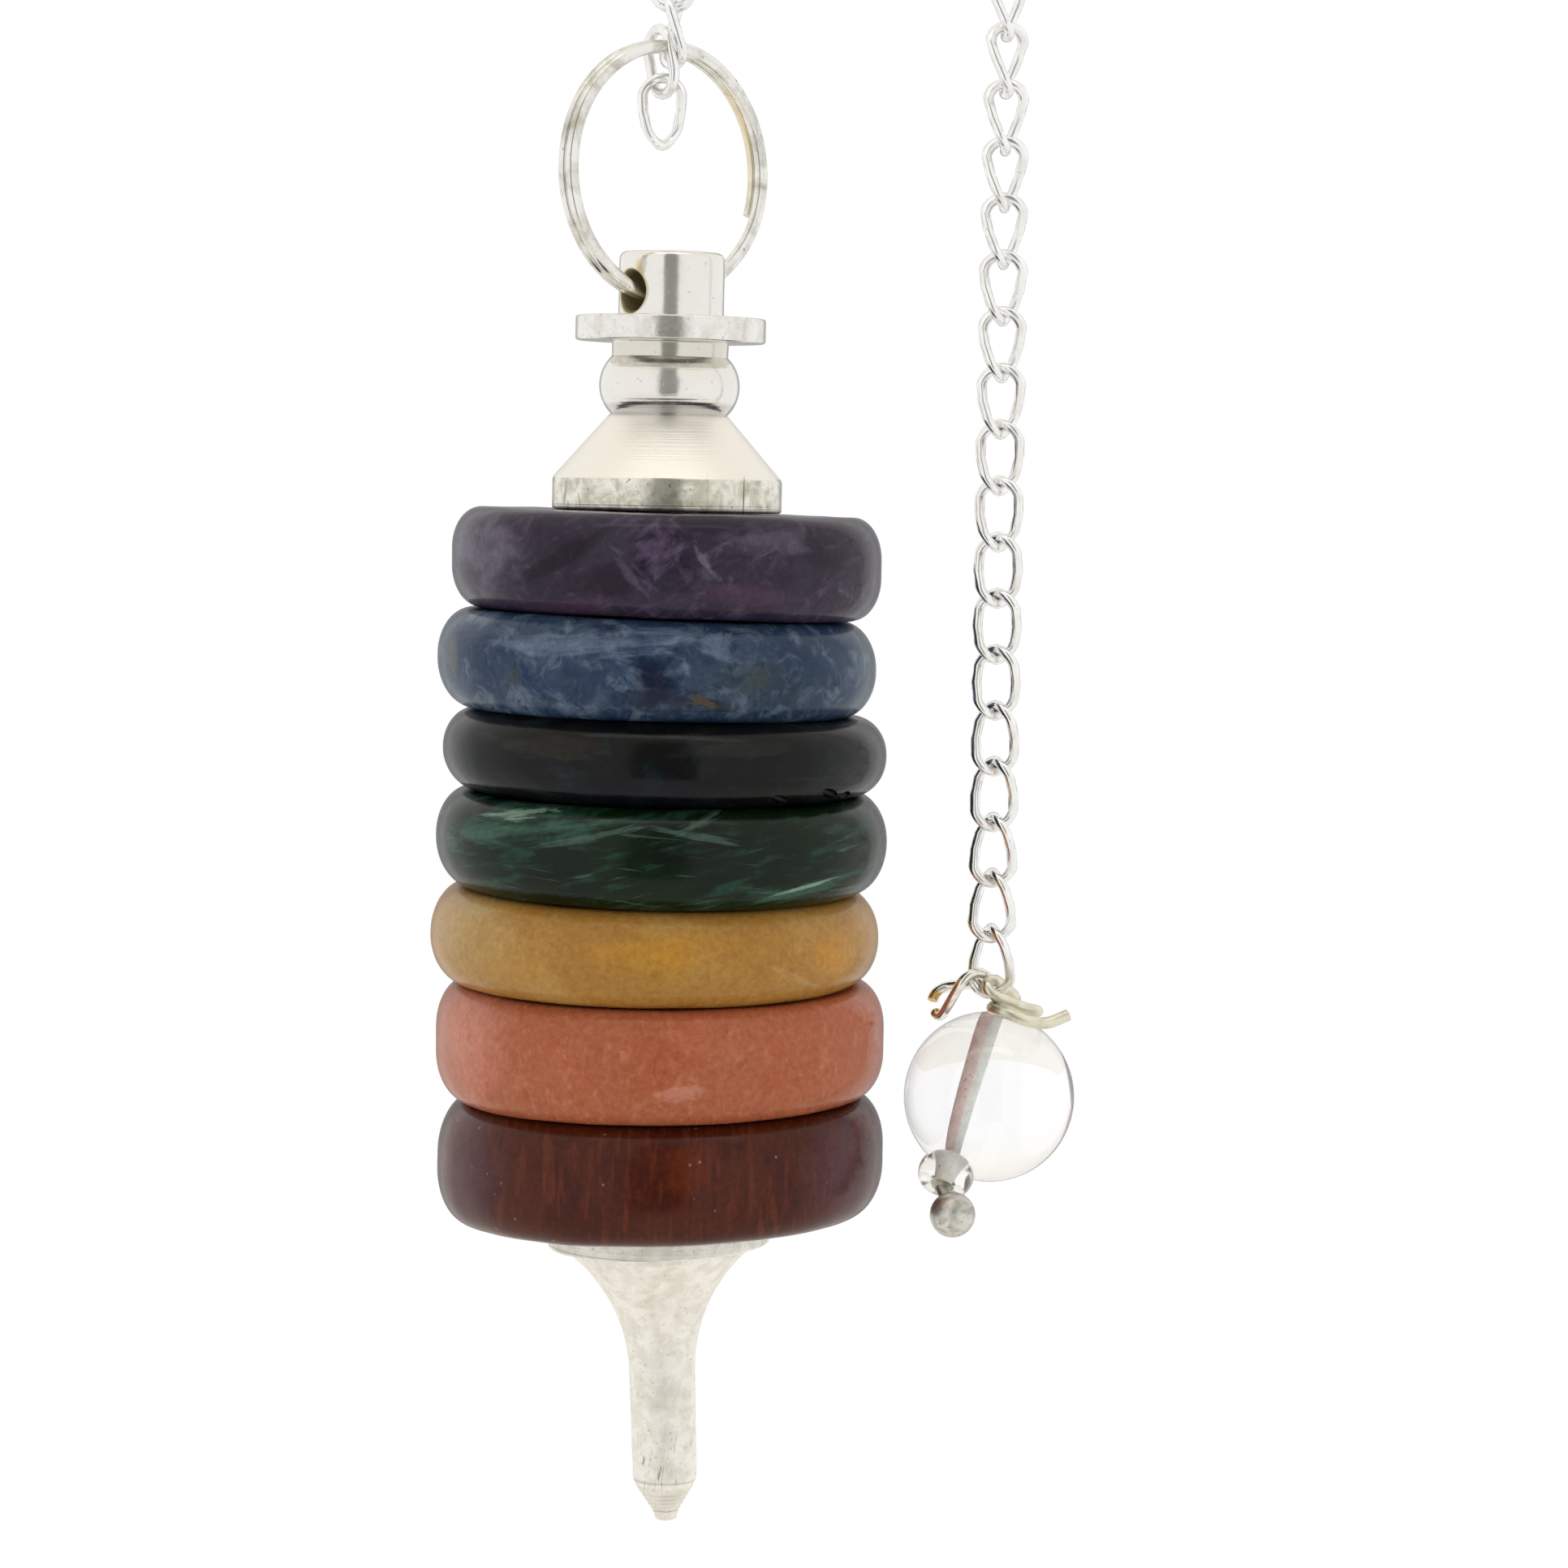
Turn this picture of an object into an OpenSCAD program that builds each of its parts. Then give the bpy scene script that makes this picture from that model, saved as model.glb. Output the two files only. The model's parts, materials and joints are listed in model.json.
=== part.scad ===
// Pendulum pendant: seven polished stone discs between a turned cap and a turned point,
// hung from a split ring on a twisted curb chain with a drilled quartz ball at its free end.
// The origin is the top of the chain's arch, where it hangs over a finger or a peg.
// +Z is up, -Y is the front, and the pendulum hangs on the left (-X).

/* [Chain] */
// Distance between the two hanging strands, centre to centre
strand_gap = 15.5; // [14:0.5:22]
// Number of links from the split ring to the quartz ball
link_count = 66; // [56:1:72]
// Distance from one link to the next
link_pitch = 2.62; // [2.5:0.01:2.8]
// Outer width of a link
link_w = 2.3; // [2.25:0.05:2.6]
// Thickness of the link wire
link_wire = 0.44; // [0.36:0.01:0.46]
// How much further the ball's strand hangs down than the pendulum's strand
strand_drop = 43; // [38:0.2:52]

/* [Split ring] */
// Outer diameter of the split ring
ring_d = 12.1; // [11.5:0.1:14]
// Thickness of the ring wire, measured along a radius
ring_wire = 0.6; // [0.5:0.05:0.7]
// Width of both coils of the ring together
ring_w = 1; // [0.9:0.05:1.05]
// Angle between the plane of the ring and the front
ring_yaw = 42; // [0:0.5:60]

/* [Top cap] */
// Diameter of the post that the ring goes through
post_d = 4.9; // [4.4:0.1:5.4]
// Diameter of the cross hole in the post
hole_d = 1.8; // [1.7:0.05:2]
// Diameter of the thin flange under the post
collar_d = 8.85; // [7:0.05:10]
// Diameter of the barrel between the flange and the cone
barrel_d = 6.54; // [6.2:0.02:7]
// Diameter of the foot that sits on the stones
foot_d = 10.7; // [9:0.1:12]
// Height of the whole cap
cap_h = 12; // [11.6:0.1:14]
// Tilt of the cap to the right
cap_tilt = 0.6; // [0:0.1:1]

/* [Stones] */
// Diameter of the largest stone disc
stone_d = 21; // [18:0.1:24]
// Height of the whole stack of stones
stack_h = 33; // [30:0.05:40]
// Radius of the rounded edge of the discs
edge_r = 1.7; // [1.2:0.05:2.2]
// Drilled hole through the discs
stone_bore = 3.8; // [3.6:0.1:5]
// Thickness of the hidden rod that holds the stack together
rod_d = 3; // [2.4:0.1:3.2]

/* [Point] */
// Diameter of the flange under the stones
point_flange_d = 10.4; // [8:0.1:12]
// Diameter of the stem
stem_d = 3.1; // [3:0.1:4]
// Length of the point below the stones
point_l = 14.6; // [14:0.05:18]

/* [Ball drop] */
// Diameter of the quartz ball
ball_d = 8; // [7:0.1:9]
// Outer diameter of the small bead under the ball
seed_d = 2.6; // [2.2:0.1:3]
// Height of the small bead
seed_h = 1.5; // [1.2:0.1:1.8]
// Diameter of the round head at the end of the pin
head_d = 2.1; // [1.6:0.1:2.4]
// Thickness of the pin wire
pin_wire = 0.56; // [0.45:0.01:0.6]
// Hole through the ball and the small bead
bead_bore = 0.9; // [0.8:0.05:1.2]

/* [Hidden] */
$fn = 64;

// Clearances between pieces
link_clear = 0.16;  // between one link and the next
hook_clear = 0.4;   // between the ring and the link that it hangs in
mouth_clear = 0.21; // between the ring and the top of the cross hole
seat_clear = 0.03;  // between stacked pieces
bead_clear = 0.12;  // between the beads of the ball drop
rod_clear = 0.06;   // round the rod in the cap and in the point

// Links: an oval of two half circles joined by straight sides
link_r = (link_w - link_wire) / 2;
link_half = (link_pitch + link_wire + link_clear) / 2;
link_straight = link_half - link_r;
link_arc_steps = 5;
wire_sides = 5;
// Half of the twist inside each link
link_twist = 45;
// How the flat of the chain turns on its way: link number, angle from the front
chain_turn = [[0, 40], [1, 48], [14, 90], [40, 90], [link_count - 17, 52], [link_count - 1, -34]];

// The chain runs up the left strand, over the arch and down the right strand
arch_r = strand_gap / 2;
left_l = (link_count * link_pitch - PI * arch_r - strand_drop) / 2;
arch_z = -arch_r - link_wire / 2;
left_foot_z = arch_z - left_l;
right_foot_z = left_foot_z - strand_drop;
fob_x = -arch_r;

// The ring hangs in the first link, and the pendulum hangs on the ring
ring_dir = [cos(ring_yaw), sin(ring_yaw), 0];
ring_normal = [sin(ring_yaw), -cos(ring_yaw), 0];
ring_mid_r = (ring_d - ring_wire) / 2;
ring_in_r = ring_d / 2 - ring_wire;
hook_z = left_foot_z - (link_wire + link_clear) / 2;
ring_z = hook_z + link_wire / 2 + hook_clear - ring_in_r;
coil_gap = 0.06;
coil_w = (ring_w - coil_gap) / 2;
coil_start = -18;    // cut end of the back coil, on the right
coil_end = 642;      // cut end of the front coil, inside the post
coil_step = 10;
coil_cross = [282, 342];
coil_sides = 8;

// The first link and the two loose ones below it: angles from the front plane, and places
link_splay = 20.5;   // the first link and the one over the ring stand at this angle on both sides
first_link_a = ring_yaw - 90 + link_splay;
first_link_twist = 62;
first_link_hold = 0.6;   // share of the first link that isn't twisted
tail_link_a = ring_yaw - 90 - link_splay;
tail_gap = 0.32;     // between the ring and the link that lies over it
tail_clear = 0.24;   // between the two loose links
tail_z = ring_z + ring_d / 2 + tail_gap + link_wire / 2 - link_half;
last_link_z = tail_z - 2 * link_half + link_wire + tail_clear;
last_link_a = [20, -60];

// Heights in the cap: the cross hole rests on the ring where the ring leaves the post
hole_z = ring_z - sqrt(pow(ring_in_r, 2) - pow(post_d / 2, 2)) + mouth_clear - hole_d / 2;
hole_down = 1.84;    // from the top of the post to the cross hole
hole_h = cap_h - hole_down;
cap_z = hole_z - hole_h;
foot_h = 1.5;
barrel_h = 4.5;      // where the barrel stands on the cone
barrel_r = 1.876;    // radius of the barrel's bulge
barrel_mid_h = 5.82;
waist_d = 5.5;       // between the cone and the barrel
neck_d = 5.44;       // between the barrel and the flange
collar_down = 4.15;  // from the top of the post to the lower side of the flange
collar_h = cap_h - collar_down;
collar_t = 1.15;
turned_edge = 0.12;  // bevel on turned edges
post_edge = 0.35;    // bevel round the top of the post
rod_depth = 4;       // of the rod in the cap and in the point

// Stones from the top: share of the stack's height, share of the largest diameter,
// shift to the right in mm, tilt to the right and to the front in degrees
stone_table = [
    [0.1437, 0.948, 0.10, [1.3, 0]],
    [0.1382, 0.976, -0.26, [1.5, 0]],
    [0.1114, 0.988, 0.15, [0.4, 0.8]],
    [0.1364, 1.000, 0.00, [0.4, 1.9]],
    [0.1358, 0.995, -0.20, [0.6, 2.3]],
    [0.1635, 0.995, 0.05, [-0.7, 1.4]],
    [0.1710, 0.995, 0.12, [-1.2, 0.6]]
];
point_tilt = -2.1;
point_z = cap_z - stack_h;
// Height of the stones above stone i, as a share of the stack
function share_above(i) = i <= 0 ? 0 : stone_table[i - 1][0] + share_above(i - 1);
// Wedge-shaped room that two neighbours with different tilts need
function tilt_of(i) = i < 0 ? [cap_tilt, 0] : i > 6 ? [point_tilt, 0] : stone_table[i][3];
function tilt_room(i, j) = norm(tilt_of(i) - tilt_of(j)) * PI / 180 * (stone_d / 2 - edge_r) / 2;
function stone_top(i) = cap_z - stack_h * share_above(i) - tilt_room(i, i - 1) - seat_clear / 2;
function stone_bottom(i) = cap_z - stack_h * share_above(i + 1) + tilt_room(i, i + 1) + seat_clear / 2;

// Point, from its flange down
point_flange_t = 1.3;
trumpet_r = 7.65;    // hollow curve from the flange to the stem
trumpet_l = 7.55;
stem_taper = 0.06;   // the stem loses this much radius
shoulder_h = 0.4;    // sloping shoulder between the stem and the sharpened end
cone_l = 1.55;       // sharpened end
cone_d = 2.6;
tip_r = 0.55;

// Ball drop: the pin slants down to the left and forwards, past the middle of the ball
pin_dir = unit([-0.3, -0.58, -0.757]);
bore_shift = [-0.62, -0.24, 0.47];   // from the middle of the ball to the middle of its bore
ball_down = 5.1;     // from the end of the chain to the middle of the ball
pin_rise = 0.35;     // straight stretch of the pin above the ball
head_shift = [0.86, -0.26, -0.22];   // of the pin's head, which sits off the wire
ball_at = [arch_r, 0, right_foot_z - ball_down];
bore_at = ball_at + bore_shift;
seed_near = ball_d / 2 + bead_clear;
seed_at = bore_at + pin_dir * (seed_near + seed_h / 2);
seed_end = bore_at + pin_dir * (seed_near + seed_h);
head_at = seed_end + pin_dir * (bead_clear + head_d / 2) + head_shift;
// Bends of the pin above the ball, from the inside of the last link: right, back and up
eye_rise = 0.37;     // of the last link's inside above the end of the chain
eye_at = [arch_r + 0.1, 0, right_foot_z + eye_rise];
pin_bends = [
    [1.15, 1.75, -1.05], [0.35, 0.8, -0.2], [0, 0, 0.02], [-0.3, -0.55, -0.1], [-0.15, -0.8, -0.45],
    [0.6, -0.75, -0.85], [1.5, -0.6, -1.2], [2.1, -0.05, -1.4], [1.8, 0.5, -1.45], [1.0, 0.15, -1.2],
    [0.3, -0.3, -1.08], [-0.05, -0.95, -1.2], [0.6, -1.5, -1.35], [1.6, -1.5, -1.7],
    [2.5, -1.2, -1.8], [3.5, -0.9, -1.45]
];
pin_steps = 4;
pin_sides = 8;
// Opened link that hooks round the last link's left side
open_along = unit([0.59, -0.5, 0.64]);
open_across = unit([-0.52, -0.84, -0.16]);
open_eye = [arch_r - 1, 0.38, right_foot_z + 0.16];
open_gap_a = 23;     // half of the opening, as an angle round the link's end

// Vectors
function unit(v) = v / norm(v);
function around(v, axis, a) = v * cos(a) + cross(axis, v) * sin(a) + axis * (axis * v) * (1 - cos(a));

// Faces of a tube through rings of points, closed on itself or with flat ends
function tube_faces(rings, sides, closed) = concat(
    [for (i = [0 : rings - (closed ? 1 : 2)]) for (j = [0 : sides - 1])
        let (a = i * sides + j, b = i * sides + (j + 1) % sides,
             c = ((i + 1) % rings) * sides + (j + 1) % sides, d = ((i + 1) % rings) * sides + j)
        each [[a, c, b], [a, d, c]]],
    closed ? [] : [[for (j = [0 : sides - 1]) j],
                   [for (j = [sides - 1 : -1 : 0]) (rings - 1) * sides + j]]
);

// One ring of points across a wire: middle, direction, side vector, half widths
function wire_ring(mid, dir, side, a, b, sides, turn = 0) =
    let (t = unit(dir), n = unit(side - t * (side * t)), m = cross(t, n))
    [for (j = [0 : sides - 1])
        mid + n * (a * cos(360 * j / sides + turn)) + m * (b * sin(360 * j / sides + turn))];

// Direction of a line of points at point i
function line_dir(line, i) = line[min(i + 1, len(line) - 1)] - line[max(i - 1, 0)];

// A round wire along an open line of points, its side carried on from ring to ring
function carried_sides(line) =
    [for (i = 0, n = unit(cross(line_dir(line, 0), [0.3, 1, 0.2])); i < len(line);
          i = i + 1, t = unit(line_dir(line, min(i, len(line) - 1))), n = unit(n - t * (n * t))) n];
module wire(line, d, sides) {
    across = carried_sides(line);
    polyhedron(points = [for (i = [0 : len(line) - 1])
                             each wire_ring(line[i], line_dir(line, i), across[i], d / 2, d / 2, sides)],
               faces = tube_faces(len(line), sides, false));
}

// A smooth line through points
function between(a, b, c, d, t) =
    b + (c - a) * t / 2 + (a * 2 - b * 5 + c * 4 - d) * t * t / 2 + (b * 3 - a - c * 3 + d) * t * t * t / 2;
function smooth_line(p, steps) = concat(
    [for (i = [0 : len(p) - 2]) for (k = [0 : steps - 1])
        between(p[max(i - 1, 0)], p[i], p[i + 1], p[min(i + 2, len(p) - 1)], k / steps)],
    [p[len(p) - 1]]
);

// Middle line of a flat link: [distance along the chain, distance across it]
function link_arc(middle, from_a, to_a) =
    [for (i = [0 : link_arc_steps]) let (a = from_a + (to_a - from_a) * i / link_arc_steps)
        [middle + link_r * cos(a), link_r * sin(a)]];
link_line = concat(link_arc(link_straight, -90, 90), link_arc(-link_straight, 90, 270));
// Angle of the flat at a distance along the link; "hold" is the share that isn't twisted
function link_angle(u, from_a, to_a, hold) =
    from_a + (to_a - from_a) * max(0, ((u + link_half) / (2 * link_half) - hold) / (1 - hold));
function link_point(p, at, along, across, from_a, to_a, hold) =
    at + along * p[0] + around(across, along, link_angle(p[0], from_a, to_a, hold)) * p[1];

module link(at, along, across, from_a, to_a, hold = 0) {
    n = len(link_line);
    line = [for (p = link_line) link_point(p, at, along, across, from_a, to_a, hold)];
    points = [for (i = [0 : n - 1])
        each wire_ring(line[i], line[(i + 1) % n] - line[(i + n - 1) % n], line[i] - at,
                       link_wire / 2, link_wire / 2, wire_sides)];
    polyhedron(points = points, faces = tube_faces(n, wire_sides, true));
}

// Place on the chain's path at a distance from its left foot
function path_at(s) =
    s < left_l ? [-arch_r, 0, left_foot_z + s] :
    s < left_l + PI * arch_r
        ? let (a = 180 - (s - left_l) / arch_r * 180 / PI) [arch_r * cos(a), 0, arch_z + arch_r * sin(a)]
        : [arch_r, 0, arch_z - (s - left_l - PI * arch_r)];

module running_link(k) {
    from = path_at(k * link_pitch);
    to = path_at((k + 1) * link_pitch);
    along = unit(to - from);
    across = cross(along, [0, 1, 0]);
    turn = -lookup(k, chain_turn);
    if (k == 0)
        link((from + to) / 2, along, across, first_link_a, first_link_a - first_link_twist, first_link_hold);
    else
        link((from + to) / 2, along, across, turn + link_twist, turn - link_twist);
}

module chain() {
    color("silver") {
        for (k = [0 : link_count - 1]) running_link(k);
        link([fob_x, 0, tail_z], [0, 0, -1], [1, 0, 0], -tail_link_a, -tail_link_a);
        link([fob_x, 0, last_link_z], [0, 0, -1], [1, 0, 0], last_link_a[0], last_link_a[1]);
    }
}

module open_link() {
    flat = concat(link_arc(-link_straight, 180 + open_gap_a, 270), link_arc(link_straight, -90, 90),
                  link_arc(-link_straight, 90, 180 - open_gap_a));
    middle = open_eye - open_along * link_straight;
    color("silver")
        wire([for (p = flat) middle + open_along * p[0] + open_across * p[1]], link_wire, wire_sides + 1);
}

module head_pin() {
    above_ball = bore_at - pin_dir * (ball_d / 2 + pin_rise);
    bends = smooth_line(concat([bore_at, above_ball], [for (b = pin_bends) eye_at + b]), pin_steps);
    color("darkgray") {
        translate(head_at) sphere(d = head_d);
        wire(concat([head_at, seed_end, seed_at], bends), pin_wire, pin_sides);
    }
}

// Turns a piece so that its own +Z points along a direction
module point_along(dir) {
    rotate([0, acos(dir[2]), atan2(dir[1], dir[0])]) children();
}

module quartz_ball() {
    color("whitesmoke", 0.4) difference() {
        translate(ball_at) sphere(d = ball_d);
        translate(bore_at) point_along(pin_dir) cylinder(d = bead_bore, h = ball_d + 1, center = true);
    }
}

module seed_bead() {
    seed_r = seed_h / 2;
    color("whitesmoke", 0.4) translate(seed_at) point_along(pin_dir) rotate_extrude() difference() {
        union() {
            translate([seed_d / 2 - seed_r, 0]) circle(r = seed_r);
            translate([bead_bore / 2, -seed_r]) square([seed_d / 2 - seed_r - bead_bore / 2, seed_h]);
        }
        translate([-seed_d, -seed_h]) square([seed_d + bead_bore / 2, seed_h * 2]);
    }
}

// Which side of the ring's plane the wire is on, from -1 at the back to 1 in front
function coil_side(a) =
    let (t = min(1, max(0, (a - coil_cross[0]) / (coil_cross[1] - coil_cross[0])))) -cos(180 * t);
function coil_point(a) = [fob_x, 0, ring_z] + ring_mid_r * (ring_dir * cos(a) + [0, 0, 1] * sin(a))
    + ring_normal * (coil_side(a) * (coil_w + coil_gap) / 2);

module split_ring() {
    turns = [for (a = [coil_start : coil_step : coil_end]) a];
    line = [for (a = turns) coil_point(a)];
    flat = cos(180 / coil_sides);
    points = [for (i = [0 : len(line) - 1])
        each wire_ring(line[i], line_dir(line, i), ring_normal, coil_w / 2 / flat, ring_wire / 2 / flat,
                       coil_sides, 180 / coil_sides)];
    color("silver") polyhedron(points = points, faces = tube_faces(len(line), coil_sides, false));
}

// Half outline of a turned disc with beveled edges
module turned_disc(d, t, bevel) {
    polygon([[0, 0], [d / 2 - bevel, 0], [d / 2, bevel], [d / 2, t - bevel], [d / 2 - bevel, t], [0, t]]);
}

module cap_outline() {
    turned_disc(foot_d, foot_h, turned_edge);
    polygon([[0, foot_h], [foot_d / 2 - turned_edge, foot_h], [waist_d / 2, barrel_h], [0, barrel_h]]);
    intersection() {
        translate([barrel_d / 2 - barrel_r, barrel_mid_h]) circle(r = barrel_r);
        translate([0, foot_h]) square([barrel_d, collar_h - foot_h]);
    }
    translate([0, barrel_h]) square([barrel_d / 2 - barrel_r, collar_h - barrel_h]);
    translate([0, barrel_mid_h]) square([neck_d / 2, collar_h - barrel_mid_h]);
    translate([0, collar_h]) turned_disc(collar_d, collar_t, turned_edge);
    translate([0, collar_h]) turned_disc(post_d, cap_h - collar_h, post_edge);
}

module rod_hole(z) {
    translate([fob_x, 0, z]) cylinder(d = rod_d + 2 * rod_clear, h = 2 * (rod_depth + rod_clear), center = true);
}

module top_cap() {
    color("lightgray") difference() {
        translate([fob_x, 0, cap_z]) rotate([0, cap_tilt, 0]) translate([0, 0, seat_clear])
            rotate_extrude() cap_outline();
        translate([fob_x, 0, hole_z]) rotate([0, 0, ring_yaw]) rotate([0, 90, 0])
            cylinder(d = hole_d, h = collar_d, center = true);
        rod_hole(cap_z);
    }
}

module stone(i) {
    t = stone_top(i) - stone_bottom(i);
    r = stone_d * stone_table[i][1] / 2;
    edge = min(edge_r, t / 2 - seat_clear);
    tilt = tilt_of(i);
    translate([fob_x + stone_table[i][2], 0, stone_top(i) - t / 2]) rotate([tilt[1], tilt[0], 0])
        rotate_extrude() difference() {
            union() {
                translate([0, -t / 2]) square([r - edge, t]);
                translate([0, edge - t / 2]) square([r, t - 2 * edge]);
                for (side = [-1, 1]) translate([r - edge, side * (t / 2 - edge)]) circle(r = edge);
            }
            translate([0, -t]) square([stone_bore / 2, 2 * t]);
        }
}
module amethyst_disc() { color("#3a2c40") stone(0); }
module pale_sodalite_disc() { color("#5a7096") stone(1); }
module dark_sodalite_disc() { color("#161a24") stone(2); }
module green_aventurine_disc() { color("#173a30") stone(3); }
module yellow_aventurine_disc() { color("#b08a45") stone(4); }
module peach_aventurine_disc() { color("#b5624c") stone(5); }
module red_jasper_disc() { color("#4a1a15") stone(6); }

module centre_rod() {
    low = point_z - rod_depth;
    color("gray") translate([fob_x, 0, low]) cylinder(d = rod_d, h = cap_z + rod_depth - low);
}

// Points of an arc in a half outline
function arc_points(middle, r, from_a, to_a, steps) =
    [for (i = [0 : steps]) let (a = from_a + (to_a - from_a) * i / steps) middle + r * [cos(a), sin(a)]];

module point_outline() {
    stem_r = stem_d / 2;
    flange_r = point_flange_d / 2;
    shoulder = cone_l - point_l;
    trumpet_a = 180 - asin((trumpet_l - point_flange_t) / trumpet_r);
    polygon(concat(
        [[0, 0], [flange_r - turned_edge, 0], [flange_r, -turned_edge], [flange_r, turned_edge - point_flange_t],
         [flange_r - turned_edge, -point_flange_t]],
        arc_points([stem_r + trumpet_r, -trumpet_l], trumpet_r, trumpet_a, 180, 8),
        [[stem_r - stem_taper, shoulder + shoulder_h], [cone_d / 2, shoulder]],
        arc_points([0, tip_r - point_l], tip_r, 0, -90, 3)
    ));
}

module point() {
    color("lightgray") difference() {
        translate([fob_x, 0, point_z]) rotate([0, point_tilt, 0]) translate([0, 0, -seat_clear])
            rotate_extrude() point_outline();
        rod_hole(point_z);
    }
}

chain();
open_link();
head_pin();
quartz_ball();
seed_bead();
split_ring();
top_cap();
amethyst_disc();
pale_sodalite_disc();
dark_sodalite_disc();
green_aventurine_disc();
yellow_aventurine_disc();
peach_aventurine_disc();
red_jasper_disc();
centre_rod();
point();
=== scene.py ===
"""Pendulum pendant: stone discs between a turned cap and a turned point, on a twisted chain."""
import json
import math
from functools import partial

import bpy
from bpy.props import FloatProperty, FloatVectorProperty, IntProperty, PointerProperty
from mathutils import Matrix, Vector


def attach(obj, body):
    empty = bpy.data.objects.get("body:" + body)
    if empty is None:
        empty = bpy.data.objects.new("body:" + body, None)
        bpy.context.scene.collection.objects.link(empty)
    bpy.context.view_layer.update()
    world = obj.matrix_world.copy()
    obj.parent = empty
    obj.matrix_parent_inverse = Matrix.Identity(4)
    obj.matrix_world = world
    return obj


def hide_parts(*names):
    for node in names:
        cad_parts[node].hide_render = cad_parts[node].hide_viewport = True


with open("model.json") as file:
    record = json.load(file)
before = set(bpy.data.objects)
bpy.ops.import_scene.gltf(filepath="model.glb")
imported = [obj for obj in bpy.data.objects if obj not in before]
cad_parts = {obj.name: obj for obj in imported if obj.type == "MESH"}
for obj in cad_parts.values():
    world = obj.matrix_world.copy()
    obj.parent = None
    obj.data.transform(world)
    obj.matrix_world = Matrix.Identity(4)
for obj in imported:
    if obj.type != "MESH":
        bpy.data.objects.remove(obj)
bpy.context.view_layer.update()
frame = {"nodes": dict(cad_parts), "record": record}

bl_info = {
    "name": "Pendulum Pendant",
    "version": (1, 0, 0),
    "blender": (4, 5, 0),
    "location": "View3D > Sidebar > Pendant",
    "description": "Models a pendulum pendant of stone discs on a twisted chain",
    "category": "Add Mesh",
}

RECORD = frame["record"]
MM = 0.001
HINGES = {joint["name"]: Vector(joint["pos_m"]) / MM for joint in RECORD["behaviour"]["joints"]}
BODY_OF = {name: body for body, names in RECORD["behaviour"]["bodies"].items() for name in names}
RIGHT, BACK, UP = Vector((1, 0, 0)), Vector((0, 1, 0)), Vector((0, 0, 1))
# Places in mm, as in the part's source
FOB_X = HINGES["ring_swing"].x
ARCH_R = -FOB_X
LEFT_FOOT_Z = -60.756
RIGHT_FOOT_Z = -103.756
ARCH_Z = -7.97
LINK_PITCH = 2.62
LINK_COUNT = 66
# How the flat of the chain turns on its way: link number, angle from the front
CHAIN_TURN = [(0, 40), (1, 48), (14, 90), (40, 90), (LINK_COUNT - 17, 52), (LINK_COUNT - 1, -34)]
# The ring's turn away from the front, in degrees, and the direction across it
RING_YAW = 42
RING_ACROSS = Vector((math.cos(math.radians(RING_YAW)), math.sin(math.radians(RING_YAW)), 0))
# The stack between cap and point, and how far both lean to the right, in degrees
CAP_Z = -81.605
STACK_H = 33
STACK_GAP = 0.03
POINT_Z = CAP_Z - STACK_H
CAP_TILT = 0.6
POINT_TILT = -2.1
# Stones from the top: share of the stack's height, radius, shift to the right, tilts to the right and to
# the front in degrees, the reach of the rounded edge across and up, and how much less polished it is
DISCS = {
    "amethyst": (0.1437, 10.0, 0.06, (1.3, 0), (1.3, 1.9), 0),
    "pale_sodalite": (0.1382, 10.25, -0.36, (1.5, 0), (1.6, 2.2), 0.03),
    "dark_sodalite": (0.1114, 10.37, 0.06, (0.4, 0.8), (1.5, 1.8), 0),
    "green_aventurine": (0.1364, 10.56, -0.07, (0.4, 1.9), (1.5, 2.2), 0.02),
    "yellow_aventurine": (0.1358, 10.5, -0.34, (0.6, 2.3), (1.6, 2.2), 0.04),
    "peach_aventurine": (0.1635, 10.5, -0.02, (-0.7, 1.4), (1.3, 2.1), 0.04),
    "red_jasper": (0.1710, 10.48, 0.08, (-1.2, 0.6), (1.5, 2.4), 0.03),
}
BALL_AT = Vector((ARCH_R, 0, RIGHT_FOOT_Z - 5.1))
BORE_AT = BALL_AT + Vector((-0.62, -0.24, 0.47))
PIN_DIR = Vector((-0.3, -0.58, -0.757)).normalized()
SEED_R = 1.3
# The pin's round head, and how far it is bent away from the line of the pin
HEAD_R = 1.05
HEAD_SHIFT = Vector((0.86, -0.26, -0.22))
# Bends of the pin above the ball, from the inside of the last link: right, back and up
EYE_AT = Vector((ARCH_R + 0.1, 0, RIGHT_FOOT_Z + 0.37))
PIN_BENDS = [
    (1.15, 1.75, -1.05), (0.35, 0.8, -0.2), (0, 0, 0.02), (-0.3, -0.55, -0.1), (-0.15, -0.8, -0.45),
    (0.6, -0.75, -0.85), (1.5, -0.6, -1.2), (2.1, -0.05, -1.4), (1.8, 0.5, -1.45), (1.0, 0.15, -1.2),
    (0.3, -0.3, -1.08), (-0.05, -0.95, -1.2), (0.6, -1.5, -1.35), (1.6, -1.5, -1.7),
    (2.5, -1.2, -1.8), (3.5, -0.9, -1.45)]
# The opened link: its length, its width towards the front, and the twist of its width at both ends
OPEN_ALONG = Vector((0.73, -0.42, 0.54)).normalized()
OPEN_ACROSS = Vector((-0.34, -0.907, -0.25)).normalized()
OPEN_TWIST = math.radians(46)
OPEN_EYE = Vector((ARCH_R - 1, 0.38, RIGHT_FOOT_Z + 0.16))


# ---------------------------------------------------------------- modelling

def deselect():
    """Leave edit mode and select nothing."""
    if bpy.context.mode != "OBJECT":
        bpy.ops.object.mode_set(mode="OBJECT")
    bpy.ops.object.select_all(action="DESELECT")


def pick(piece):
    """Select one object and make it active."""
    deselect()
    piece.select_set(True)
    bpy.context.view_layer.objects.active = piece


def named(name):
    """Name the active object, and return it."""
    bpy.context.object.name = name
    return bpy.context.object


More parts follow.
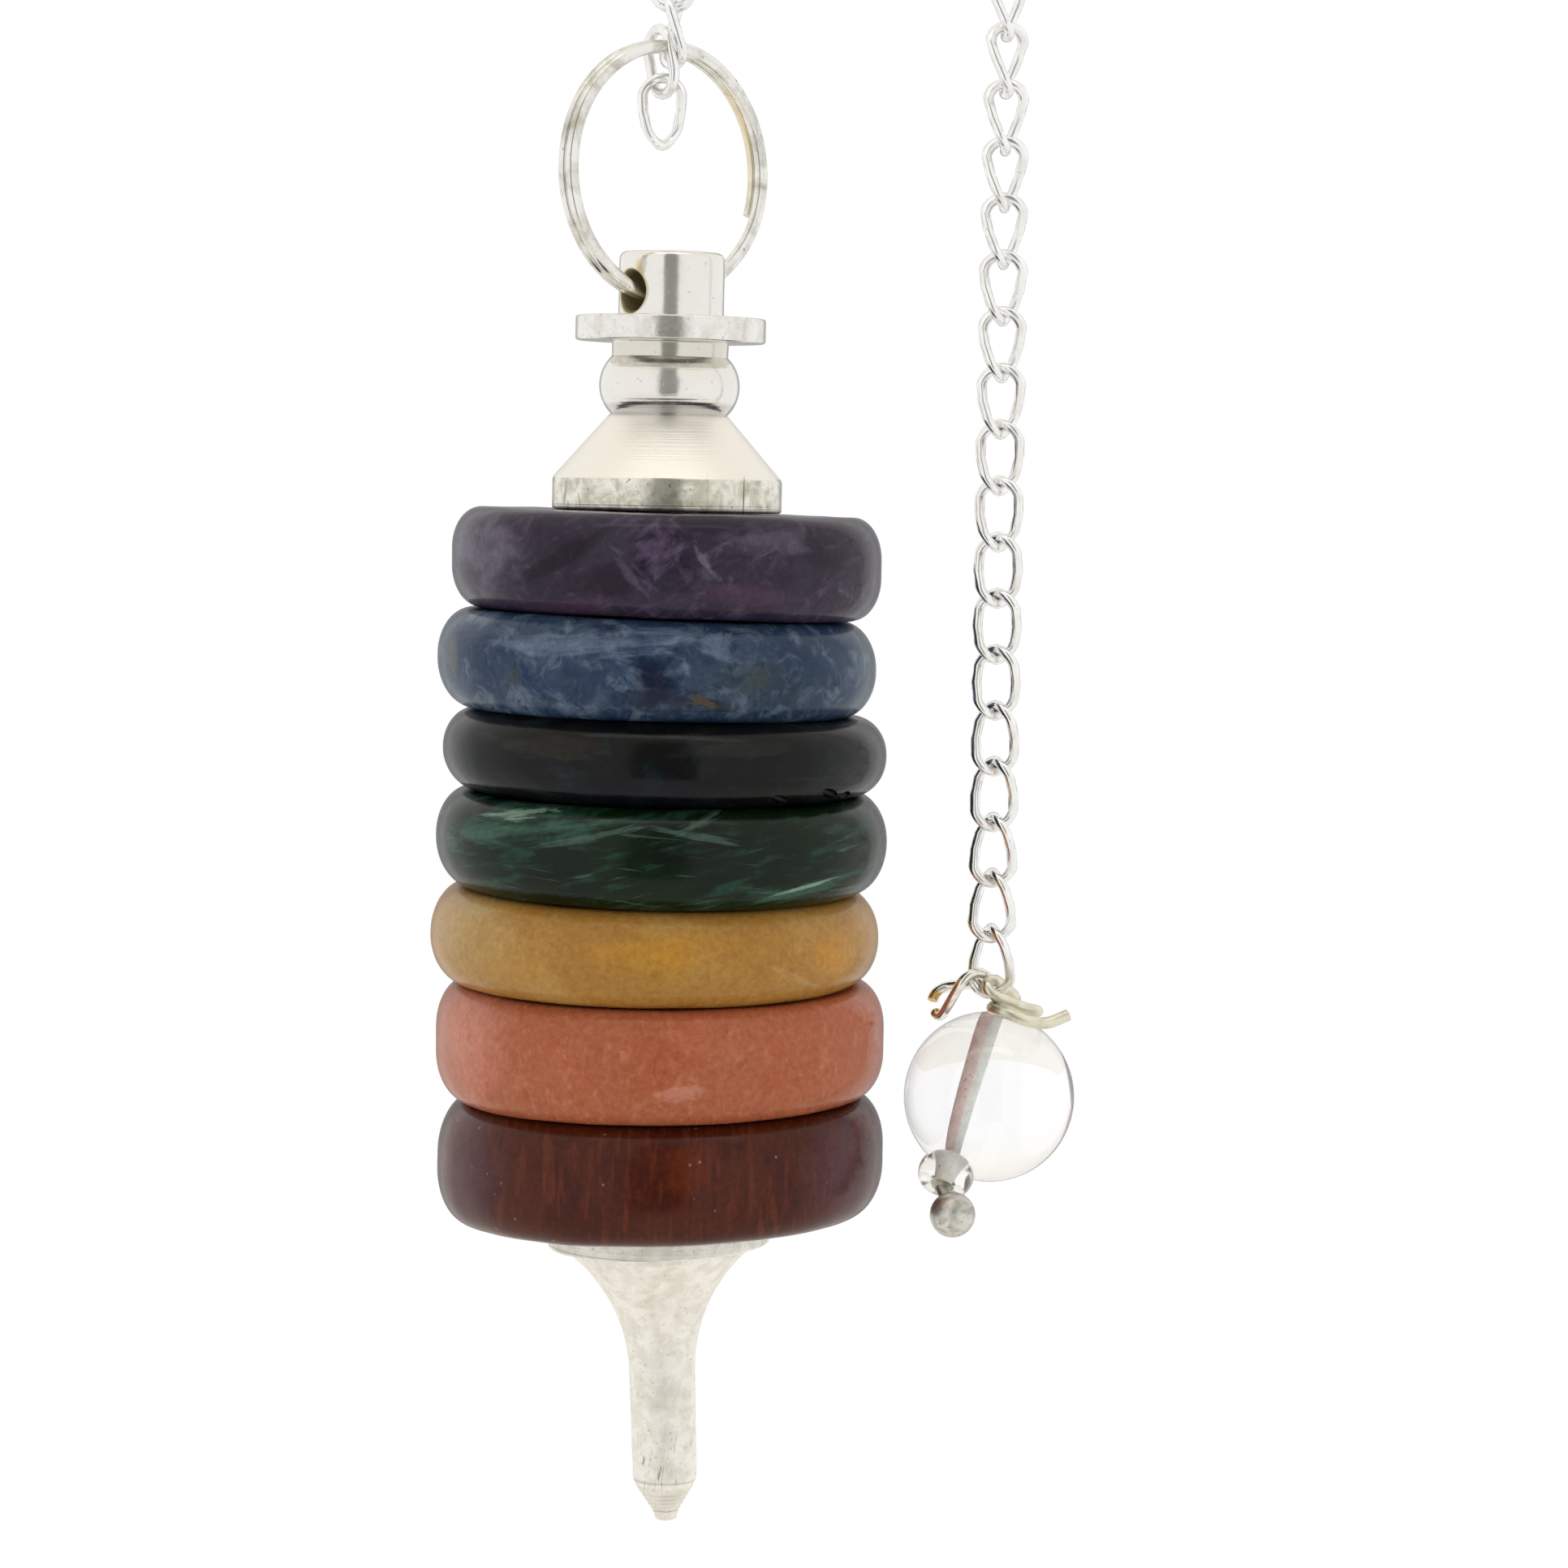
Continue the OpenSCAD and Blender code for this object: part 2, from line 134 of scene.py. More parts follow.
def delete(piece):
    """Delete an object."""
    pick(piece)
    bpy.ops.object.delete()


def modify(piece, kind, **settings):
    """Add a modifier with its settings, and apply it."""
    pick(piece)
    bpy.ops.object.modifier_add(type=kind)
    modifier = piece.modifiers[-1]
    for key, value in settings.items():
        setattr(modifier, key, value)
    bpy.ops.object.modifier_apply(modifier=modifier.name)


def choose(piece, test):
    """Select the points of a piece that pass a test, and stay in edit mode."""
    pick(piece)
    bpy.ops.object.mode_set(mode="EDIT")
    bpy.ops.mesh.select_mode(type="VERT")
    bpy.ops.mesh.select_all(action="DESELECT")
    bpy.ops.object.mode_set(mode="OBJECT")
    for point in piece.data.vertices:
        point.select = test(point.co)
    bpy.ops.object.mode_set(mode="EDIT")


def settle(piece, matrix=Matrix()):
    """Put a piece in its place and keep the place in its mesh."""
    pick(piece)
    bpy.context.view_layer.update()
    piece.matrix_world = matrix @ piece.matrix_world
    bpy.ops.object.transform_apply(location=True, rotation=True, scale=True)


def draw_line(name, points):
    """Draw a line through points in mm, one stroke after another, and stay in edit mode."""
    deselect()
    bpy.ops.mesh.primitive_plane_add(size=MM, location=Vector(points[0]) * MM)
    piece = named(name)
    bpy.ops.object.mode_set(mode="EDIT")
    bpy.ops.mesh.merge(type="CENTER")
    for here, there in zip(points, points[1:]):
        stroke = (Vector(there) - Vector(here)) * MM
        bpy.ops.mesh.extrude_vertices_move(TRANSFORM_OT_translate={"value": stroke})
    return piece


def merge_doubles():
    """Merge the doubles of the mesh in edit mode, and select all of it."""
    bpy.ops.mesh.select_all(action="SELECT")
    bpy.ops.mesh.remove_doubles(threshold=4e-7)
    bpy.ops.mesh.select_all(action="SELECT")


def close_shell():
    """Merge the doubles of the mesh in edit mode and turn its faces outwards."""
    merge_doubles()
    bpy.ops.mesh.normals_make_consistent(inside=False)
    bpy.ops.object.mode_set(mode="OBJECT")


def smooth(piece, angle):
    """Shade a piece smooth up to an angle in degrees."""
    pick(piece)
    bpy.ops.object.shade_smooth_by_angle(angle=math.radians(angle))


def turned(name, outline, steps):
    """Turn a half outline of (radius, height) points in mm about the Z axis, as on a lathe."""
    piece = draw_line(name, [(r, 0, z) for r, z in outline])
    bpy.ops.mesh.select_all(action="SELECT")
    bpy.ops.mesh.spin(steps=steps, angle=2 * math.pi, center=(0, 0, 0), axis=(0, 0, 1))
    close_shell()
    settle(piece)
    return piece


def wire_along(name, points, thickness, sides=16):
    """Draw a wire of round section along points in mm, with flat ends."""
    pick(draw_line(name, points))
    bpy.ops.object.convert(target="CURVE")
    curve = bpy.context.object.data
    curve.bevel_depth = thickness / 2 * MM
    curve.bevel_resolution = sides // 4
    curve.use_fill_caps = True
    bpy.ops.object.convert(target="MESH")
    piece = named(name)
    bpy.ops.object.mode_set(mode="EDIT")
    close_shell()
    settle(piece)
    return piece


def join_all(name, pieces):
    """Join pieces into the first one."""
    pick(pieces[0])
    for piece in pieces:
        piece.select_set(True)
    bpy.ops.object.join()
    whole = named(name)
    settle(whole)
    return whole


def copy_at(piece, matrix):
    """Copy a piece, with a mesh of its own, to another place."""
    pick(piece)
    bpy.ops.object.duplicate(linked=False)
    bpy.context.object.matrix_world = matrix
    return bpy.context.object


def cut_away(piece, tool):
    """Cut a tool's shape out of a piece and delete the tool."""
    modify(piece, "BOOLEAN", operation="DIFFERENCE", object=tool, solver="EXACT")
    delete(tool)


def wear_uneven(piece, size, depth):
    """Make a surface slightly uneven, in mm, as hand polishing leaves it."""
    clouds = bpy.data.textures.new(piece.name + "_unevenness", "CLOUDS")
    clouds.noise_scale = size * MM
    clouds.noise_depth = 1
    modify(piece, "DISPLACE", texture=clouds, texture_coords="LOCAL", mid_level=0.5, strength=depth * MM)


def lean(piece, height, above, below):
    """Lean the top and the bottom of a piece, each by tilts to the right and to the front in degrees."""
    wide = 24
    deselect()
    bpy.ops.object.add(type="LATTICE", location=(0, 0, 0))
    cage = bpy.context.object
    cage.scale = (wide * MM, wide * MM, height * MM)
    for axis in "uvw":
        setattr(cage.data, "interpolation_type_" + axis, "KEY_LINEAR")
    for point in cage.data.points:
        right, front = [math.tan(math.radians(a)) for a in (above if point.co.z > 0 else below)]
        rise = wide * (point.co.y * front - point.co.x * right)
        point.co_deform.z = point.co.z + rise / height
    modify(piece, "LATTICE", object=cage)
    delete(cage)


def rounded(corners, steps):
    """Round the corners of an outline: each corner is (radius, height) or (radius, height, rounding)."""
    points = []
    for i, corner in enumerate(corners):
        here = Vector(corner[:2])
        if len(corner) < 3 or i in (0, len(corners) - 1):
            points.append(here)
            continue
        ends = []
        for other in (corners[i - 1], corners[i + 1]):
            away = Vector(other[:2]) - here
            ends.append(here + away.normalized() * min(corner[2], away.length * 0.49))
        for t in [k / steps for k in range(steps + 1)]:
            points.append((1 - t) ** 2 * ends[0] + 2 * t * (1 - t) * here + t * t * ends[1])
    return [tuple(p) for p in points]


def arc(middle, r, from_a, to_a, steps, squeeze=1.0):
    """Points of an arc round a middle, angles in degrees."""
    turns = [math.radians(from_a + (to_a - from_a) * k / steps) for k in range(steps + 1)]
    return [(middle[0] + r * math.cos(a), middle[1] + r * squeeze * math.sin(a)) for a in turns]


def mirrored(outline):
    """A half outline upside down, in the opposite order."""
    return [(r, -z) for r, z in reversed(outline)]


def smooth_line(points, steps):
    """A smooth line through points."""
    line = []
    last = len(points) - 1
    for i in range(last):
        a, b, c, d = (points[max(i - 1, 0)], points[i], points[i + 1], points[min(i + 2, last)])
        for t in [k / steps for k in range(steps)]:
            line.append(b + (c - a) * t / 2 + (a * 2 - b * 5 + c * 4 - d) * t * t / 2
                        + (b * 3 - a - c * 3 + d) * t * t * t / 2)
    return line + [points[last]]


def moved(*place):
    """The move to a place in mm."""
    return Matrix.Translation(Vector(place) * MM)


def frame_of(x_axis, y_axis, middle):
    """A place in the part: two directions and a middle in mm."""
    x_axis = x_axis.normalized()
    z_axis = x_axis.cross(y_axis).normalized()
    return moved(*middle) @ Matrix((x_axis, z_axis.cross(x_axis), z_axis)).transposed().to_4x4()


def tilted(z, tilt, gap):
    """A place on the pendulum's axis, tilted to the right by an angle in degrees, and a gap up along it."""
    return moved(FOB_X, 0, z) @ Matrix.Rotation(math.radians(tilt), 4, "Y") @ moved(0, 0, gap)


def along_pin(middle):
    """A place whose Z axis runs along the pin."""
    return moved(*middle) @ UP.rotation_difference(PIN_DIR).to_matrix().to_4x4()


def off_pin(place, middle):
    """A place's distance from the line along the pin through a middle."""
    return (place - middle).cross(PIN_DIR).length


def finish_piece(piece, node_name, *materials):
    """Give a piece its finishes, and let it stand for its CAD node and move with its body."""
    piece.data.materials.clear()
    for material in materials:
        piece.data.materials.append(material)
    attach(piece, BODY_OF[node_name])
    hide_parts(node_name)


def second_finish(piece, test):
    """Give the second finish to the faces whose middle, in mm, passes a test."""
    for face in piece.data.polygons:
        face.material_index = int(test(face.center / MM))


# ---------------------------------------------------------------- materials

def photo_colour(r, g, b, veil=0.015):
    """A linear colour from screen values of 0 to 255, less the veil of reflected white."""
    shares = []
    for value in (r, g, b):
        s = value / 255
        s = s / 12.92 if s <= 0.04045 else ((s + 0.055) / 1.055) ** 2.4
        shares.append(max(0.003, s - veil))
    return tuple(shares)


def feed(source, node, name):
    """Link a socket to a node's input."""
    node.id_data.links.new(source, node.inputs[name])


def add(kind, inputs, **settings):
    """Add a node to the tree that its inputs come from. An input is a socket or a plain value."""
    linked = {key: value for key, value in inputs.items() if isinstance(value, bpy.types.NodeSocket)}
    made = next(iter(linked.values())).id_data.nodes.new(kind)
    for key, value in settings.items():
        setattr(made, key, value)
    for key, value in inputs.items():
        if key in linked:
            feed(value, made, key)
        else:
            made.inputs[key].default_value = value
    return made


def calc(operation, *values):
    """A Math node's result."""
    return add("ShaderNodeMath", dict(enumerate(values)), operation=operation).outputs[0]


def times(first, second):
    """The product of two values."""
    return calc("MULTIPLY", first, second)


def vector(operation, *values):
    """A Vector Math node's result."""
    made = add("ShaderNodeVectorMath", dict(enumerate(values)), operation=operation)
    return made.outputs["Value" if operation in ("DOT_PRODUCT", "LENGTH") else "Vector"]


def parts_of(place):
    """The three parts of a vector."""
    return add("ShaderNodeSeparateXYZ", {0: place}).outputs


def mixed(share, first, second, blend="MIX"):
    """Mix two colours."""
    made = add("ShaderNodeMix", {0: share, 6: first, 7: second}, data_type="RGBA", blend_type=blend)
    return made.outputs[2]


def ramp(value, low, high, to_low=0.0, to_high=1.0):
    """Spread a value between two limits, with soft ends."""
    return add("ShaderNodeMapRange", {0: value, 1: low, 2: high, 3: to_low, 4: to_high},
               interpolation_type="SMOOTHSTEP").outputs[0]


def noise(place, scale, detail=3.0, rough=0.5, distortion=0.0):
    """A noise pattern's value."""
    return add("ShaderNodeTexNoise", {"Vector": place, "Scale": scale, "Detail": detail, "Roughness": rough,
                                      "Distortion": distortion}).outputs[0]


def new_group(name, outputs, **inputs):
    """Start a node group. An input's value is None for a vector, a tuple for a colour or a number."""
    tree = bpy.data.node_groups.new(name, "ShaderNodeTree")
    for socket, value in inputs.items():
        kind = "Vector" if value is None else "Color" if isinstance(value, tuple) else "Float"
        made = tree.interface.new_socket(name=socket.replace("_", " "), in_out="INPUT",
                                         socket_type="NodeSocket" + kind)
        if value is not None:
            made.default_value = value
    for socket in outputs:
        kind = "Color" if socket == "Color" else "Float"
        tree.interface.new_socket(name=socket, in_out="OUTPUT", socket_type="NodeSocket" + kind)
    return tree.nodes.new("NodeGroupInput").outputs, tree.nodes.new("NodeGroupOutput")


def effect(group, **values):
    """Place a node group with its own values."""
    if group not in bpy.data.node_groups:
        make_effects()
    inputs = {key.replace("_", " "): value for key, value in values.items()}
    return add("ShaderNodeGroup", inputs, node_tree=bpy.data.node_groups[group]).outputs


def turned_about_y(place, angle):
    """A place turned in the front plane."""
    return add("ShaderNodeVectorRotate", {"Vector": place, "Angle": angle}, rotation_type="Y_AXIS").outputs[0]


def make_effects():
    """Build the effects that several materials share."""
    # Cloudy patches in a stone
    given, end = new_group("Stone clouds", ["Mask"], Vector=None, Scale=0.3, Twist=0.8, Low=0.4, High=0.65)
    cloud = noise(given["Vector"], given["Scale"], 5.0, 0.58, given["Twist"])
    feed(ramp(cloud, given["Low"], given["High"]), end, "Mask")

    # Streaks or grain drawn out along a direction in the front plane, its turn in degrees
    given, end = new_group("Stone streaks", ["Mask"], Vector=None, Turn=0.0, Length=4.0, Thickness=0.3,
                           Low=0.55, High=0.7)
    sizes = add("ShaderNodeCombineXYZ", {0: given["Length"], 1: given["Length"], 2: given["Thickness"]})
    turn = calc("RADIANS", given["Turn"])
    drawn = vector("DIVIDE", turned_about_y(given["Vector"], turn), sizes.outputs[0])
    feed(ramp(noise(drawn, 1.0, 3.0, 0.55, 0.25), given["Low"], given["High"]), end, "Mask")

    # One ragged patch: its middle, its half sizes and its turn in the front plane
    given, end = new_group("Ragged patch", ["Mask"], Vector=None, Middle=None, Size=None, Turn=0.0,
                           Ragged=1.2, Soft=0.5)
    apart = turned_about_y(vector("SUBTRACT", given["Vector"], given["Middle"]), given["Turn"])
    share = vector("DIVIDE", apart, given["Size"])
    rough = calc("SUBTRACT", noise(vector("ADD", share, given["Middle"]), 1.2, 4.0, 0.6, 0.4), 0.5)
    reach = calc("MULTIPLY_ADD", rough, given["Ragged"], vector("LENGTH", share))
    feed(ramp(reach, calc("SUBTRACT", 1.0, given["Soft"]), 1.1, 1.0, 0.0), end, "Mask")

    # Small grains and flecks
    given, end = new_group("Stone flecks", ["Mask"], Vector=None, Scale=2.5, Share=0.2)
    cells = add("ShaderNodeTexVoronoi", {"Vector": given["Vector"], "Scale": given["Scale"]}).outputs
    lot = add("ShaderNodeSeparateColor", {0: cells["Color"]}).outputs[0]
    chosen = calc("LESS_THAN", lot, given["Share"])
    feed(times(chosen, ramp(cells["Distance"], 0.15, 0.45, 1.0, 0.0)), end, "Mask")

    # Unevenness of a hand-polished surface
    given, end = new_group("Hand polish", ["Height", "Roughness"], Vector=None, Base_Roughness=0.1)
    swell = noise(given["Vector"], 0.45, 2.0, 0.5, 0.3)
    haze = noise(given["Vector"], 1.6, 4.0, 0.65, 0.2)
    pits = ramp(noise(given["Vector"], 5.0, 3.0, 0.7), 0.66, 0.74)
    feed(calc("SUBTRACT", times(swell, 0.7), times(pits, 0.12)), end, "Height")
    matt = calc("MULTIPLY_ADD", ramp(haze, 0.45, 0.75), 0.12, given["Base Roughness"])
    feed(calc("MULTIPLY_ADD", pits, 0.2, matt), end, "Roughness")

    # Fine lines that a lathe tool leaves round the axis
    given, end = new_group("Lathe lines", ["Height"], Vector=None, Period=0.09)
    height = calc("DIVIDE", parts_of(given["Vector"])[2], given["Period"])
    line = noise(add("ShaderNodeCombineXYZ", {2: height}).outputs[0], 0.9, 1.0, 0.5)
    drift = noise(given["Vector"], 1.3, 2.0, 0.5)
    feed(times(line, ramp(drift, 0.3, 0.6, 0.5, 1.0)), end, "Height")

    # Plating that is stained, speckled and slightly cloudy
    given, end = new_group("Worn plating", ["Color", "Roughness", "Height"], Vector=None,
                           Bright=(0.9, 0.9, 0.9, 1), Dull=(0.6, 0.57, 0.5, 1), Scale=0.8, Stain_Share=0.5,
                           Base_Roughness=0.2)
    cloud = ramp(noise(given["Vector"], given["Scale"], 5.0, 0.6, 0.4), 0.38, 0.72)
    fleck = ramp(noise(given["Vector"], 4.5, 2.0, 0.6), 0.68, 0.76)
    blotch = mixed(times(cloud, given["Stain Share"]), given["Bright"], given["Dull"])
    feed(mixed(times(fleck, given["Stain Share"]), blotch, (0.16, 0.15, 0.13, 1)), end, "Color")
    dull = calc("MULTIPLY_ADD", cloud, 0.1, given["Base Roughness"])
    feed(calc("MULTIPLY_ADD", fleck, 0.25, dull), end, "Roughness")
    feed(calc("SUBTRACT", times(cloud, 0.3), fleck), end, "Height")


def new_material(name, middle=(0, 0, 0)):
    """Start a material: itself, its shader, and the place in mm from a middle."""
    material = bpy.data.materials.new(name)
    material.use_nodes = True
    nodes = material.node_tree.nodes
    coords = nodes.new("ShaderNodeTexCoord").outputs["Object"]
    place = add("ShaderNodeMapping", {"Vector": coords, "Scale": (1000, 1000, 1000),
                                      "Location": [-c for c in middle]}).outputs[0]
    return material, nodes["Principled BSDF"], place


def bump(shader, height, depth):
    """Feed a height pattern in mm to the shader's normal."""
    made = add("ShaderNodeBump", {"Height": height, "Strength": 1.0, "Distance": depth * MM})
    feed(made.outputs[0], shader, "Normal")


def spot(place, middle, wide, tall, turn=0.0, ragged=1.2, soft=0.5, deep=4.0):
    """Mask of one ragged patch at a place in mm, with its half sizes and its turn in degrees."""
    return effect("Ragged patch", Vector=place, Middle=middle, Size=(wide, deep, tall),
                  Turn=math.radians(turn), Ragged=ragged, Soft=soft)["Mask"]


def band(place, low, high, soft=0.04):
    """Mask of the heights between two limits in mm."""
    z = parts_of(place)[2]
    return times(ramp(z, low - soft, low + soft), ramp(z, high - soft, high + soft, 1.0, 0.0))


def mottle(place, light, dark, scale=1.1):
    """A colour mottled between two tones, with small dark specks."""
    cloud = ramp(noise(place, scale, 5.0, 0.65, 0.5), 0.36, 0.66)
    specks = ramp(noise(place, scale * 4, 3.0, 0.6), 0.62, 0.7)
    return mixed(times(specks, 0.7), mixed(cloud, light, dark), (0.2, 0.19, 0.14, 1))


def lay_over(shader, mask, tone, matt=None, share=None):
    """Lay a colour over the shader's base colour where a mask is, and a roughness over its roughness."""
    if share is not None:
        mask = times(mask, share)
    below = shader.inputs["Base Color"].links[0].from_socket
    feed(mixed(mask, below, tone), shader, "Base Color")
    if matt is not None:
        below = shader.inputs["Roughness"].links[0].from_socket
        feed(add("ShaderNodeMix", {0: mask, 2: below, 3: matt}).outputs[0], shader, "Roughness")


def plating_material(name, middle, bright, dull, roughness, scale=0.8, stain=0.5, depth=0.01, period=0.0):
    """Silver plating, with lathe lines where a period is given: itself, its shader and its place."""
    material, shader, place = new_material(name, middle)
    worn = effect("Worn plating", Vector=place, Bright=(*bright, 1), Dull=(*dull, 1), Scale=scale,
                  Stain_Share=stain, Base_Roughness=roughness)
    height = times(worn["Height"], 0.4)
    if period:
        height = calc("ADD", height, effect("Lathe lines", Vector=place, Period=period)["Height"])
    feed(worn["Color"], shader, "Base Color")
    feed(worn["Roughness"], shader, "Roughness")
    shader.inputs["Metallic"].default_value = 1
    bump(shader, height, depth)
    return material, shader, place


def glass_material(name, middle, colour, roughness):
    """Polished clear stone or glass."""
    material, shader, place = new_material(name, middle)
    haze = effect("Stone clouds", Vector=place, Scale=0.6, Low=0.5, High=0.75)
    feed(mixed(haze["Mask"], (*colour, 1), (*(c * 0.985 for c in colour), 1)), shader, "Base Color")
    for key, value in {"Metallic": 0, "Roughness": roughness, "Transmission Weight": 1, "IOR": 1.52}.items():
        shader.inputs[key].default_value = value
    polish = effect("Hand polish", Vector=place, Base_Roughness=roughness)
    bump(shader, polish["Height"], 0.004)
    return material


def stone_material(name, middle, radius, main, layers, roughness):
    """Polished stone: a main colour with layers over it, as STONE_LAYERS lists them."""
    material, shader, place = new_material(name, middle)
    colour = (*main, 1)
    for kind, share, tone, *values in layers:
        if kind == "patch":
            right, up, *shape = values
            front = -math.sqrt(max(0.0, (radius - 0.1) ** 2 - right ** 2))
            mask = spot(place, (right, front, up), *shape)
        else:
            mask = effect("Stone " + kind, Vector=place, **dict(zip(LAYER_VALUES[kind], values)))["Mask"]
        colour = mixed(times(mask, share), colour, (*photo_colour(*tone), 1))
    grain = ramp(noise(place, 3.2, 5.0, 0.72), 0.2, 0.8, 0.2, 0.8)
    feed(mixed(0.5, colour, grain, "SOFT_LIGHT"), shader, "Base Color")
    polish = effect("Hand polish", Vector=place, Base_Roughness=roughness)
    feed(polish["Roughness"], shader, "Roughness")
    shader.inputs["IOR"].default_value = 1.55
    shader.inputs["Specular IOR Level"].default_value = 0.16
    bump(shader, polish["Height"], 0.03)
    return material


